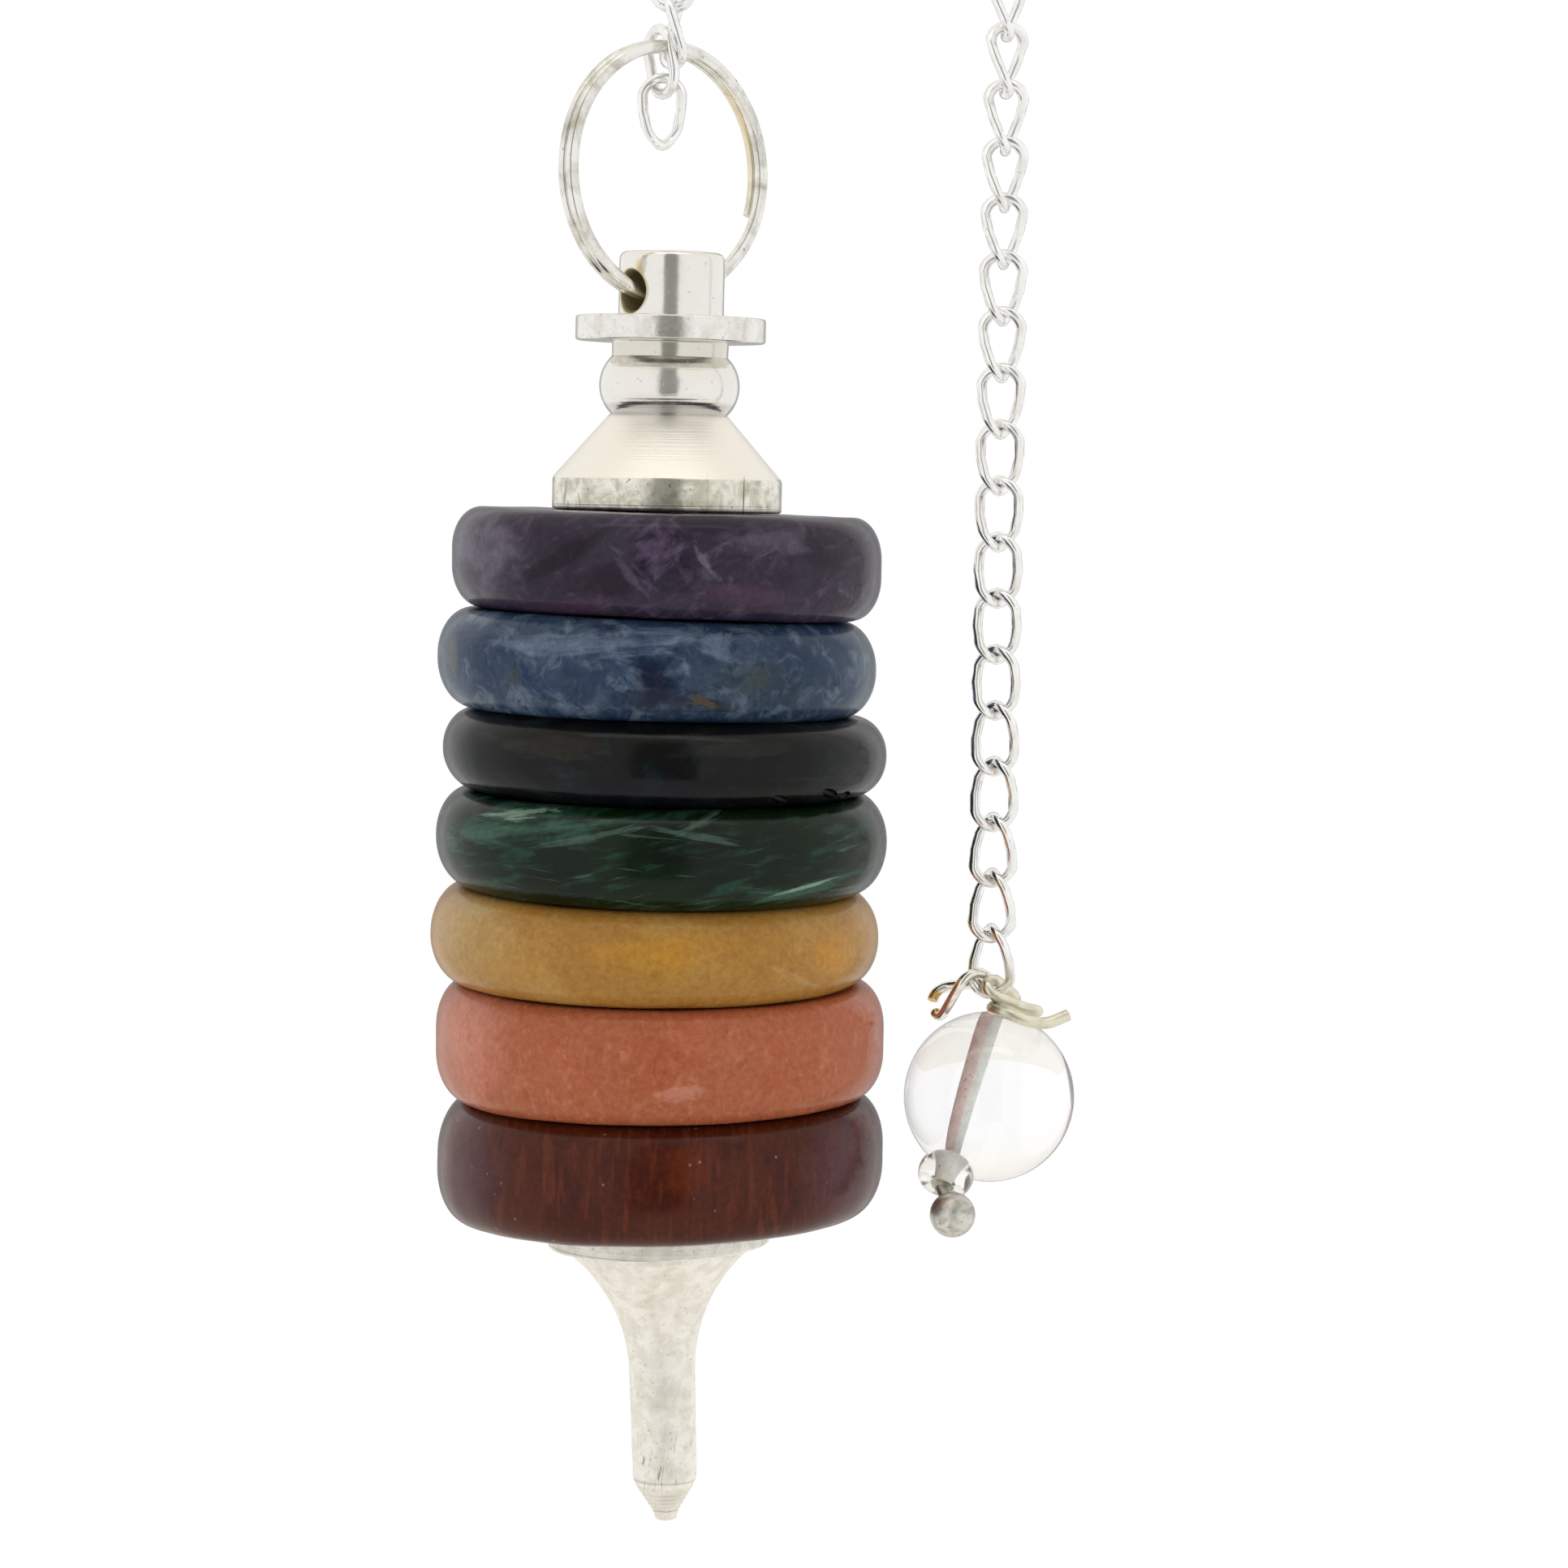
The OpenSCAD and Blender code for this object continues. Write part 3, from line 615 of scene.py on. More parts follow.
# Layers of the stones, from the lowest up: kind, share, screen colour and the kind's values. A patch has its
# place right and up from the stone's middle, half width, half height, turn, raggedness and softness.
LAYER_VALUES = {"clouds": ("Scale", "Low", "High"), "flecks": ("Scale", "Share"),
                "streaks": ("Turn", "Length", "Thickness", "Low", "High")}
STONE_LAYERS = {
    "amethyst": [
        ("clouds", 0.6, (50, 41, 54), 0.25, 0.42, 0.62),
        ("clouds", 0.4, (112, 98, 124), 0.45, 0.56, 0.74),
        ("streaks", 0.3, (120, 108, 130), 32, 3, 0.6, 0.56, 0.74),
        ("clouds", 0.35, (104, 92, 112), 1.2, 0.55, 0.72),
        ("patch", 0.8, (43, 37, 46), -4.4, 0.4, 2.8, 0.5, 31),
        ("patch", 0.75, (45, 35, 47), -2.3, -0.8, 1.7, 1, 20),
        ("patch", 0.6, (46, 40, 50), 2.6, 1.7, 2.2, 0.35, -4),
        ("patch", 0.6, (46, 40, 50), 7.6, 0.9, 1.6, 1.3),
        ("patch", 0.4, (116, 100, 126), 0, 1, 0.9, 1.3, -25, 4, 0.9),
        ("patch", 0.5, (134, 126, 142), 1.9, 0.3, 0.95, 0.32, -52, 3.8, 0.9),
        ("patch", 0.35, (116, 104, 126), -1.2, -0.5, 1.6, 0.4, -48, 4, 0.9),
        ("patch", 0.5, (88, 68, 84), -3.8, -1.9, 3.4, 0.6, 0, 2.4, 0.8),
        ("patch", 0.5, (90, 70, 88), 4.2, -1.3, 3.4, 0.8, 0, 2.4, 0.8),
        ("patch", 0.4, (114, 106, 122), 5, 1.2, 2.4, 0.9, 10, 3, 0.9),
        ("patch", 0.55, (120, 112, 130), -8, 0.4, 2.6, 2, 30, 2.6, 0.9),
    ],
    "pale_sodalite": [
        ("clouds", 0.8, (46, 62, 86), 0.35, 0.42, 0.62),
        ("clouds", 0.6, (112, 126, 144), 0.6, 0.5, 0.66),
        ("clouds", 0.7, (38, 50, 68), 1.1, 0.56, 0.68),
        ("patch", 0.4, (124, 138, 158), -3.4, 1.2, 4.8, 0.6, 3, 2.6),
        ("patch", 0.5, (54, 62, 66), 5.2, -0.6, 4.4, 1.5, 0, 3, 0.9),
        ("clouds", 0.35, (92, 106, 122), 1.6, 0.54, 0.68),
        ("patch", 0.8, (20, 34, 50), 0.6, -0.7, 2.2, 1.3, 0, 3.4, 0.9),
        ("patch", 0.7, (36, 48, 72), -2, 1.8, 0.9, 0.4, 0, 2.4, 0.8),
        ("patch", 0.7, (38, 54, 84), -5.2, -0.6, 1.6, 0.5, -40, 2.6, 0.8),
        ("patch", 0.7, (46, 42, 40), 2.9, -1.5, 1.4, 0.4, -12, 4),
        ("patch", 0.5, (100, 86, 70), 2.3, -1.3, 0.8, 0.3, -25, 4),
        ("patch", 0.6, (72, 78, 78), -6.2, -0.4, 0.5, 0.4, 0, 1.8),
        ("patch", 0.6, (72, 80, 80), 4.7, -0.3, 0.7, 0.7, 0, 2.2),
        ("patch", 0.65, (94, 98, 88), -9.2, 0.3, 0.3, 1.1, 4),
    ],
    "dark_sodalite": [
        ("clouds", 0.7, (20, 21, 27), 0.3, 0.4, 0.6),
        ("clouds", 0.5, (40, 52, 56), 0.5, 0.5, 0.68),
        ("streaks", 0.3, (66, 68, 66), 3, 4, 0.8, 0.56, 0.74),
        ("patch", 0.4, (58, 56, 50), -4.6, 0.6, 2.6, 0.6, 0, 2.4),
        ("patch", 0.4, (54, 54, 50), 3.6, 0.7, 2.4, 0.5, 0, 2.4),
        ("patch", 0.4, (34, 34, 46), -1, -1.2, 5, 0.7, 0, 1.6),
    ],
    "green_aventurine": [
        ("clouds", 0.7, (20, 42, 37), 0.26, 0.4, 0.6),
        ("streaks", 0.4, (56, 92, 80), 11, 2.6, 0.5, 0.5, 0.7),
        ("streaks", 0.4, (98, 126, 112), 15, 3.4, 0.3, 0.62, 0.74),
        ("streaks", 0.3, (96, 122, 106), -6, 4, 0.2, 0.63, 0.73),
        ("patch", 0.6, (16, 32, 30), 2, 0.2, 3.2, 0.7, 8, 1.4),
        ("patch", 0.6, (76, 112, 98), -7, 1, 5, 0.9, 8, 4, 0.9),
        ("patch", 0.6, (140, 166, 148), -6.2, 1.6, 1.7, 0.22, 8, 3.6),
        ("patch", 0.6, (66, 104, 86), 6.6, -1.7, 2.8, 0.35, 13, 3.2, 0.8),
        ("patch", 0.6, (150, 178, 160), 6.8, -1.5, 1.6, 0.1, 13, 1.4),
        ("patch", 0.35, (98, 124, 112), -2.8, 0.8, 2.6, 0.18, 13, 3.4),
        ("patch", 0.35, (98, 124, 112), 1.8, 0.9, 2.2, 0.18, -10, 3.4),
        ("patch", 0.35, (98, 124, 112), 2.2, 1.6, 1.4, 0.18, 26, 3.4),
    ],
    "yellow_aventurine": [
        ("clouds", 0.4, (192, 156, 96), 0.22, 0.42, 0.64),
        ("clouds", 0.3, (172, 132, 76), 0.5, 0.5, 0.74),
        ("patch", 0.85, (182, 158, 110), -8.6, 0.8, 5.6, 3.2, 0, 1.6, 1.4),
        ("patch", 0.75, (190, 138, 60), 0.9, 0, 3.6, 1.3, 4, 1.8, 0.9),
        ("patch", 0.55, (186, 138, 74), -5.6, -0.8, 1.8, 0.8, 0, 1.8, 0.9),
        ("patch", 0.7, (196, 140, 62), 8.4, -0.4, 1.4, 1.2, 0, 1.4, 0.9),
        ("patch", 0.25, (196, 168, 118), 6.6, -1.1, 1.4, 0.2, -30, 1.6),
        ("flecks", 0.25, (150, 112, 66), 2.2, 0.12),
    ],
    "peach_aventurine": [
        ("clouds", 0.4, (176, 94, 66), 0.3, 0.42, 0.66),
        ("clouds", 0.3, (202, 136, 106), 0.55, 0.52, 0.74),
        ("streaks", 0.3, (208, 144, 122), 90, 0.9, 0.3, 0.55, 0.75),
        ("patch", 0.6, (206, 142, 124), -8.6, 0.5, 3, 3.5, 0, 1, 0.9),
        ("patch", 0.5, (208, 146, 128), 1.1, -1.2, 1.1, 0.5, 6, 1.8),
        ("flecks", 0.15, (216, 160, 138), 3.2, 0.1),
        ("flecks", 0.25, (142, 80, 64), 2.1, 0.12),
    ],
    "red_jasper": [
        ("clouds", 0.55, (66, 38, 34), 0.3, 0.42, 0.64),
        ("streaks", 0.45, (116, 62, 46), 90, 2.6, 0.35, 0.5, 0.72),
        ("streaks", 0.35, (52, 30, 30), 90, 2.2, 0.3, 0.54, 0.72),
        ("patch", 0.6, (92, 66, 72), -8.6, 0, 2.6, 3.5, 0, 1, 0.9),
        ("patch", 0.6, (92, 66, 72), 8.6, 0, 2.6, 3.5, 0, 1, 0.9),
        ("patch", 0.5, (112, 54, 36), 1.4, 0.8, 1, 1.4, 0, 1.8),
        ("flecks", 0.5, (170, 140, 130), 4.4, 0.012),
    ],
}


# ---------------------------------------------------------------- settings

# Main colours of the stones, as screen values
STONE_COLOURS = {
    "amethyst": (62, 56, 69), "pale_sodalite": (62, 76, 96), "dark_sodalite": (17, 30, 34),
    "green_aventurine": (22, 46, 36), "yellow_aventurine": (169, 124, 64),
    "peach_aventurine": (172, 101, 73), "red_jasper": (84, 47, 38)}
length = partial(FloatProperty, unit="LENGTH", precision=5)
tint = partial(FloatVectorProperty, subtype="COLOR", min=0, max=1)


class ChainSettings(bpy.types.PropertyGroup):
    """Sizes and colour of the chain."""
    wire: length(name="Link wire", description="Thickness of the link wire",
                 default=0.00048, min=0.0003, max=0.0006)
    width: length(name="Link width", description="Outer width of a link",
                  default=0.00232, min=0.002, max=0.0026)
    twist: FloatProperty(name="Twist", description="Twist from one end of a link to the other",
                         default=math.radians(90), subtype="ANGLE")
    colour: tint(name="Plating", description="Colour of the bright plating", default=(0.93, 0.93, 0.93))


class RingSettings(bpy.types.PropertyGroup):
    """Sizes and colour of the split ring."""
    diameter: length(name="Diameter", description="Outer diameter of the ring", default=0.0121)
    wire: length(name="Wire", description="Thickness of the wire along a radius", default=0.0006)
    coil_width: length(name="Coil width", description="Width of one coil", default=0.00047)
    colour: tint(name="Plating", description="Colour of the plating", default=(0.84, 0.83, 0.79))


class CapSettings(bpy.types.PropertyGroup):
    """Hole, lathe lines and colours of the turned cap and the point."""
    hole: length(name="Cross hole", description="Diameter of the hole through the post", default=0.0018)
    line_period: length(name="Lathe lines", description="Distance between the cap's lathe lines",
                        default=0.00009)
    cap_colour: tint(name="Cap plating", description="Colour of the cap's plating",
                     default=(0.83, 0.81, 0.765))
    point_colour: tint(name="Point plating", description="Colour of the point's plating",
                       default=(0.97, 0.95, 0.9))


class StoneSettings(bpy.types.PropertyGroup):
    """Shape, polish and main colours of the seven discs."""
    unevenness: length(name="Unevenness", description="Depth of the hand polish's waves", default=0.00012)
    roughness: FloatProperty(name="Polish", description="Roughness of the polished stone",
                             default=0.16, min=0, max=1, subtype="FACTOR")
    steps: IntProperty(name="Steps", description="Steps of each disc round its axis", default=144, min=48)


for stone, tone in STONE_COLOURS.items():
    StoneSettings.__annotations__[stone] = tint(
        name=stone.replace("_", " ").capitalize(), default=photo_colour(*tone),
        description="Main colour of the %s disc" % stone.replace("_", " "))


class DropSettings(bpy.types.PropertyGroup):
    """Sizes of the ball, its pin and the small bead."""
    ball: length(name="Ball", description="Diameter of the quartz ball", default=0.008)
    bore: length(name="Bore", description="Hole through the ball and the small bead", default=0.0007)
    pin_wire: length(name="Pin wire", description="Thickness of the pin", default=0.00056)
    pin_colour: tint(name="Pin", description="Colour of the dull pin wire", default=(0.78, 0.75, 0.61))


class StageSettings(bpy.types.PropertyGroup):
    """The studio's light."""
    tent: FloatProperty(name="Tent", description="Brightness of the light tent", default=1.0, min=0)
    slit: tint(name="Front of the tent", description="Colour of the dark front opening",
               default=(0.3, 0.31, 0.29))
    overhead: FloatProperty(name="Overhead light", description="Power of the light above",
                            default=0.12, min=0, unit="POWER")


# ---------------------------------------------------------------- pieces

def path_at(s):
    """Place on the chain's path at a distance in mm from its left foot."""
    strand = ARCH_Z - LEFT_FOOT_Z
    past_arch = s - strand - math.pi * ARCH_R
    if s < strand:
        return Vector((-ARCH_R, 0, LEFT_FOOT_Z + s))
    if past_arch < 0:
        a = math.pi - (s - strand) / ARCH_R
        return Vector((ARCH_R * math.cos(a), 0, ARCH_Z + ARCH_R * math.sin(a)))
    return Vector((ARCH_R, 0, ARCH_Z - past_arch))


def turn_of(k):
    """Angle of the chain's flat at a link, read between the rows of CHAIN_TURN."""
    for (k0, a0), (k1, a1) in zip(CHAIN_TURN, CHAIN_TURN[1:]):
        if k <= k1:
            return a0 + (a1 - a0) * (k - k0) / (k1 - k0)
    return CHAIN_TURN[-1][1]


def link_shape(name, settings, twist):
    """Shape one link: a ring of wire, drawn out to an oval and twisted along its length."""
    wire = settings.wire
    round_r = (settings.width - wire) / 2
    half = (LINK_PITCH * MM + wire) / 2
    deselect()
    bpy.ops.mesh.primitive_torus_add(major_segments=40, minor_segments=12, major_radius=round_r,
                                     minor_radius=wire / 2, location=(0, 0, 0))
    link = named(name)
    for side in (-1, 1):
        choose(link, lambda co: co.x * side > 1e-6)
        bpy.ops.transform.translate(value=(side * (half - round_r), 0, 0))
    if twist:
        modify(link, "SIMPLE_DEFORM", deform_method="TWIST", deform_axis="X",
               angle=-twist * (half + wire / 2) / half)
    smooth(link, 180)
    return link


def link_place(middle, along, across, turn):
    """Place of a link: its length along the chain, its flat turned about that by an angle in degrees."""
    return frame_of(along, Matrix.Rotation(math.radians(turn), 3, along) @ across, middle)


class PENDANT_OT_chain_links(bpy.types.Operator):
    """Model the twisted chain, with the two loose links at the split ring"""
    bl_idname = "pendant.chain_links"
    bl_label = "Chain links"

    def execute(self, context):
        settings = context.scene.pendant_chain
        pattern = link_shape("link_pattern", settings, settings.twist)
        # The lowest links of the left strand sit a little above their places on the path
        lift, lifted_links = 0.05, 19
        links = []
        for k in range(1, LINK_COUNT):
            start, stop = path_at(k * LINK_PITCH), path_at((k + 1) * LINK_PITCH)
            along = (stop - start).normalized()
            middle = (start + stop) / 2 + UP * lift * max(0.0, 1 - k / lifted_links)
            # Each link hangs a few degrees off its even turn
            sway = 2.5 * math.sin(k * 2.4) + 1.5 * math.sin(k * 5.1)
            links.append(copy_at(pattern, link_place(middle, along, along.cross(BACK), sway - turn_of(k))))
        first = link_shape("first_link", settings, math.radians(62))
        middle = (path_at(0) + path_at(LINK_PITCH)) / 2 + Vector((0.05, 0, lift))
        first.matrix_world = link_place(middle, UP, UP.cross(BACK), -80)
        over = link_shape("link_over_ring", settings, 0)
        over.matrix_world = (link_place(Vector((FOB_X - 0.5, 0, -60.8)), -UP, RIGHT, 98 - RING_YAW)
                             @ Matrix.Rotation(math.radians(20), 4, "Z"))
        last = link_shape("last_loose_link", settings, math.radians(80))
        last.matrix_world = link_place(Vector((FOB_X - 0.44, 0, -63.1)), -UP, RIGHT, -20)
        chain = join_all("chain_links", links + [first, over, last])
        delete(pattern)
        finish_piece(chain, "chain", plating_material("Chain plating", (0, 0, 0), settings.colour,
                                                      (0.62, 0.6, 0.55), 0.16, scale=1.1, stain=0.35)[0])
        return {"FINISHED"}


class PENDANT_OT_open_link(bpy.types.Operator):
    """Model the link that was cut open, with its bare ends"""
    bl_idname = "pendant.open_link"
    bl_label = "Opened link"

    def execute(self, context):
        wire = 0.49
        end_r = 0.93
        straight = 0.675
        opening = 23
        flat = (arc((-straight, 0), end_r, 180 + opening, 270, 8) + arc((straight, 0), end_r, -90, 90, 14)
                + arc((-straight, 0), end_r, 90, 180 - opening, 8))
        rise = OPEN_ACROSS.cross(OPEN_ALONG)
        route = []
        for u, v in flat:
            turn = OPEN_TWIST * u / (straight + end_r)
            route.append(OPEN_EYE + OPEN_ALONG * (u - straight)
                         + (OPEN_ACROSS * math.cos(turn) + rise * math.sin(turn)) * v)
        link = wire_along("opened_link", route, wire)
        smooth(link, 50)
        material, shader, place = plating_material(
            "Opened link plating", OPEN_EYE, (0.9, 0.89, 0.86), (0.55, 0.52, 0.42), 0.16,
            scale=1.2, depth=0.025)
        for end in (route[0], route[-1]):
            bare = spot(place, end - OPEN_EYE, 0.6, 0.6, ragged=0.3, soft=0.3, deep=0.6)
            lay_over(shader, bare, (0.62, 0.42, 0.16, 1))
        finish_piece(link, "open_link", material)
        return {"FINISHED"}


class PENDANT_OT_ball_drop(bpy.types.Operator):
    """Model the looped pin with its round head, the drilled ball and the small bead"""
    bl_idname = "pendant.ball_drop"
    bl_label = "Ball drop"

    def execute(self, context):
        settings = context.scene.pendant_drop
        ball_r = settings.ball / MM / 2
        bore_r = settings.bore / MM / 2
        seed_h = 1.5
        clear = 0.12
        seed_end = BORE_AT + PIN_DIR * (ball_r + clear + seed_h)
        seed_at = seed_end - PIN_DIR * seed_h / 2
        head_at = seed_end + PIN_DIR * (clear + HEAD_R) + HEAD_SHIFT

        bends = [BORE_AT, BORE_AT - PIN_DIR * (ball_r + 0.35)] + [EYE_AT + Vector(b) for b in PIN_BENDS]
        pin = wire_along("pin_wire", [head_at, seed_end, seed_at] + smooth_line(bends, 8),
                         settings.pin_wire / MM, 20)
        deselect()
        bpy.ops.mesh.primitive_uv_sphere_add(segments=40, ring_count=24, radius=HEAD_R * MM,
                                             location=(0, 0, 0))
        head = bpy.context.object
        choose(head, lambda co: co.z > 0.9 * MM)
        bpy.ops.transform.resize(value=(1, 1, 0.97))
        settle(head, along_pin(head_at))
        pin = join_all("looped_pin", [pin, head])
        smooth(pin, 50)
        wire_finish = plating_material("Dull pin wire", EYE_AT, settings.pin_colour, (0.42, 0.4, 0.3), 0.3,
                                       scale=1.4, depth=0.015)[0]
        light, dark = (0.72, 0.7, 0.64), (0.42, 0.41, 0.37)
        head_finish, shader, place = plating_material("Dull pin head", head_at, light, dark, 0.42,
                                                      scale=1.6, stain=0.7, depth=0.02)
        feed(mottle(place, (*light, 1), (*dark, 1), 1.5), shader, "Base Color")
        finish_piece(pin, "head_pin", wire_finish, head_finish)
        second_finish(pin, lambda at: (at - head_at).length < HEAD_R + 0.02)

        ball = turned("drilled_ball", arc((0, 0), ball_r, 90, -90, 64), 96)
        settle(ball, along_pin(BALL_AT))
        exit_z = math.sqrt(ball_r ** 2 - (BORE_AT - BALL_AT).length ** 2)
        mouth_r = bore_r + 0.22
        mouth = [(bore_r, exit_z - 0.16), (bore_r + 0.09, exit_z + 0.02), (mouth_r, exit_z + 0.3),
                 (mouth_r, exit_z + 0.6), (0, exit_z + 0.6)]
        drill = turned("bead_drill", mirrored(mouth) + mouth, 48)
        settle(drill, along_pin(BORE_AT))
        cut_away(ball, drill)
        smooth(ball, 30)
        bore_wall = self.bore_wall()
        finish_piece(ball, "quartz_ball", glass_material("Clear quartz", BALL_AT, (1, 1, 1), 0), bore_wall)
        second_finish(ball, lambda at: off_pin(at, BORE_AT) < bore_r + 0.01)

        wall = (SEED_R - bore_r) / 2
        seed = turned("small_bead", arc((bore_r + wall, 0), wall, 0, 360, 32, seed_h / 2 / wall), 64)
        settle(seed, along_pin(seed_at))
        smooth(seed, 60)
        finish_piece(seed, "seed_bead", glass_material("Clear bead glass", seed_at, (1, 1, 0.98), 0.1),
                     bore_wall)
        second_finish(seed, lambda at: off_pin(at, seed_at) < bore_r + wall * 0.4)
        return {"FINISHED"}

    def bore_wall(self):
        """The ground wall of the bore, brownish on the left with a painted reflection of the pink stones."""
        material, shader, place = new_material("Ground bore wall", BORE_AT)
        aside = vector("DOT_PRODUCT", place, (0.93, 0, -0.37))
        along = vector("DOT_PRODUCT", place, PIN_DIR)
        # Painted reflection: the left side of the ball's bore is brownish pink, mirroring the pink stones
        left = times(ramp(aside, -0.06, 0.02, 1.0, 0.0), ramp(along, 4.0, 4.1, 1.0, 0.0))
        grey = mottle(place, (0.97, 0.97, 0.92, 1), (0.8, 0.8, 0.76, 1), 1.6)
        painted_stone_reflection = mottle(place, (0.95, 0.72, 0.68, 1), (0.8, 0.58, 0.54, 1), 1.6)
        feed(mixed(times(left, 0.8), grey, painted_stone_reflection), shader, "Base Color")
        shader.inputs["Roughness"].default_value = 0.7
        bump(shader, noise(place, 3.0, 4.0), 0.05)
        return material


class PENDANT_OT_split_ring(bpy.types.Operator):
    """Model the split ring: two coils of half-round wire with a crossing between them"""
    bl_idname = "pendant.split_ring"
    bl_label = "Split ring"

    def execute(self, context):
        settings = context.scene.pendant_ring
        wire = settings.wire / MM
        wide = settings.coil_width / MM
        mid_r = (settings.diameter / MM - wire) / 2
        coil_gap = 0.03
        aside = 0.36
        # Angles along the wire, in degrees: its ends, the step, and where it crosses to the other side
        start_a, end_a, step_a = -18, 642, 5
        cross_from, cross_to = 282, 342

        def side_at(a):
            t = min(1, max(0, (a - cross_from) / (cross_to - cross_from)))
            return -math.cos(math.pi * t) * (wide + coil_gap) / 2

        def flattened(share):
            return math.copysign(abs(share) ** 0.7, share) / 2

        ring = draw_line("ring_coils", [
            (mid_r + wire * flattened(math.cos(a)), 0, wide * flattened(math.sin(a)) + side_at(start_a))
            for a in [math.radians(22.5 * k) for k in range(17)]])
        merge_doubles()
        for a in range(start_a, end_a, step_a):
            bpy.ops.mesh.spin(steps=1, angle=-math.radians(step_a), center=(0, 0, 0), axis=(0, 0, 1))
            shift = (side_at(a + step_a) - side_at(a)) * MM
            if abs(shift) > 1e-9:
                bpy.ops.transform.translate(value=(0, 0, shift))
        bpy.ops.mesh.select_all(action="DESELECT")
        bpy.ops.mesh.select_non_manifold()
        bpy.ops.mesh.fill_holes(sides=0)
        close_shell()
        middle = HINGES["ring_swing"] - UP * mid_r - RING_ACROSS * aside
        settle(ring, frame_of(RING_ACROSS, UP, middle) @ Matrix.Rotation(math.radians(start_a), 4, "Z"))
        smooth(ring, 50)
        material, shader, place = plating_material("Ring plating", middle, settings.colour,
                                                   (0.42, 0.39, 0.3), 0.17, stain=0.8, depth=0.02)
        front_coil = ramp(vector("DOT_PRODUCT", place, RING_ACROSS.cross(UP)), -0.06, 0.02, 1.0, 0.0)
        worn = spot(place, RING_ACROSS * 4.6 + UP * 1.5, 3.0, 4.0, soft=0.8)
        lay_over(shader, times(front_coil, worn), (0.82, 0.7, 0.44, 1), 0.3, 0.85)
        finish_piece(ring, "split_ring", material)
        return {"FINISHED"}


class PENDANT_OT_top_cap(bpy.types.Operator):
    """Turn the cap with its foot, cone, barrel, neck, flange and drilled post"""
    bl_idname = "pendant.top_cap"
    bl_label = "Top cap"

    def execute(self, context):
        settings = context.scene.pendant_cap
        foot_r, foot_h, cone_h = 5.35, 1.5, 4.44
        flange_r, flange_low, flange_top = 4.425, 7.85, 9
        post_r, post_top = 2.45, 12
        foot = rounded([(0, 0), (foot_r, 0, 0.16), (foot_r, foot_h, 0.14), (2.78, cone_h, 0.05),
                        (2.7, cone_h + 0.03)], 5)
        barrel = arc((1.394, 5.82), 1.876, -45.5, 45, 18)
        upper = rounded([(2.7, 7.15), (2.72, flange_low, 0.1), (flange_r, flange_low, 0.16),
                         (flange_r, flange_top, 0.16), (post_r, flange_top, 0.14), (post_r, post_top, 0.4),
                         (0, post_top)], 5)
        cap = turned("turned_cap", foot + barrel + upper, 160)
        settle(cap, tilted(CAP_Z, CAP_TILT, STACK_GAP))
        hole_r = settings.hole / MM / 2
        mouth_r = hole_r + 0.3
        mouth = [(hole_r, post_r - 0.35), (hole_r + 0.13, post_r - 0.1), (mouth_r, post_r + 0.12),
                 (mouth_r, 4), (0, 4)]
        drill = turned("drill", mirrored(mouth) + mouth, 48)
        settle(drill, frame_of(-UP, UP.cross(RING_ACROSS), HINGES["pendulum_swing"]))
        cut_away(cap, drill)
        smooth(cap, 32)
        base = Vector((FOB_X, 0, CAP_Z))
        material, shader, place = plating_material(
            "Cap plating", base, settings.cap_colour, (0.8, 0.765, 0.7), 0.13,
            scale=0.7, stain=0.4, depth=0.012, period=settings.line_period / MM)
        # Cone, foot, flange, the barrel's lower edge with a painted reflection of the amethyst, and the neck
        # with painted shade under the flange
        lay_over(shader, band(place, 1.57, 4.46), (0.9, 0.87, 0.8, 1), 0.42)
        lay_over(shader, band(place, -0.2, 1.53), mottle(place, (0.84, 0.81, 0.72, 1), (0.5, 0.48, 0.38, 1)),
                 0.2)
        lay_over(shader, band(place, 7.82, 9.04), mottle(place, (0.86, 0.85, 0.81, 1), (0.64, 0.62, 0.56, 1)),
                 0.24, 0.6)
        # Painted reflection: a dark purple-grey band on the barrel's lower edge, where it mirrors the
        # amethyst below
        lay_over(shader, band(place, 4.46, 5.0, 0.14), (0.36, 0.33, 0.37, 1), 0.2, 0.4)
        # Painted shade: the neck under the flange is darkened
        lay_over(shader, band(place, 7.14, 7.82, 0.03), (0.62, 0.59, 0.5, 1), share=0.6)
        # Stains and scratches: share, colour, middle, half width, half height, turn and raggedness
        for share, tone, *where in (
                (0.85, (0.78, 0.64, 0.38, 1), (-1.36, -2.04, 11.2), 0.2, 0.5, 8, 0.9),
                (0.9, (0.1, 0.09, 0.07, 1), (3.62, -3.94, 0.72), 0.035, 1.3, -1, 0.1),
                (0.4, (0.3, 0.28, 0.22, 1), (1.98, -4.97, 0.72), 0.03, 1.3, 1, 0.2),
                (0.7, (0.3, 0.28, 0.24, 1), (-3.9, -3.6, 0.5), 0.04, 0.5, 8, 1.6),
                (0.7, (0.24, 0.22, 0.18, 1), (-4.6, -2.6, 0.8), 0.07, 0.6, -6, 1.8)):
            lay_over(shader, spot(place, *where, deep=0.6), tone, share=share)
        off = vector("SUBTRACT", place, HINGES["pendulum_swing"] - base)
        apart = vector("LENGTH", vector("CROSS_PRODUCT", off, RING_ACROSS))
        lay_over(shader, ramp(apart, 0.98, 1.14, 1.0, 0.0), (0.6, 0.54, 0.36, 1), 0.45)
        finish_piece(cap, "top_cap", material)
        return {"FINISHED"}


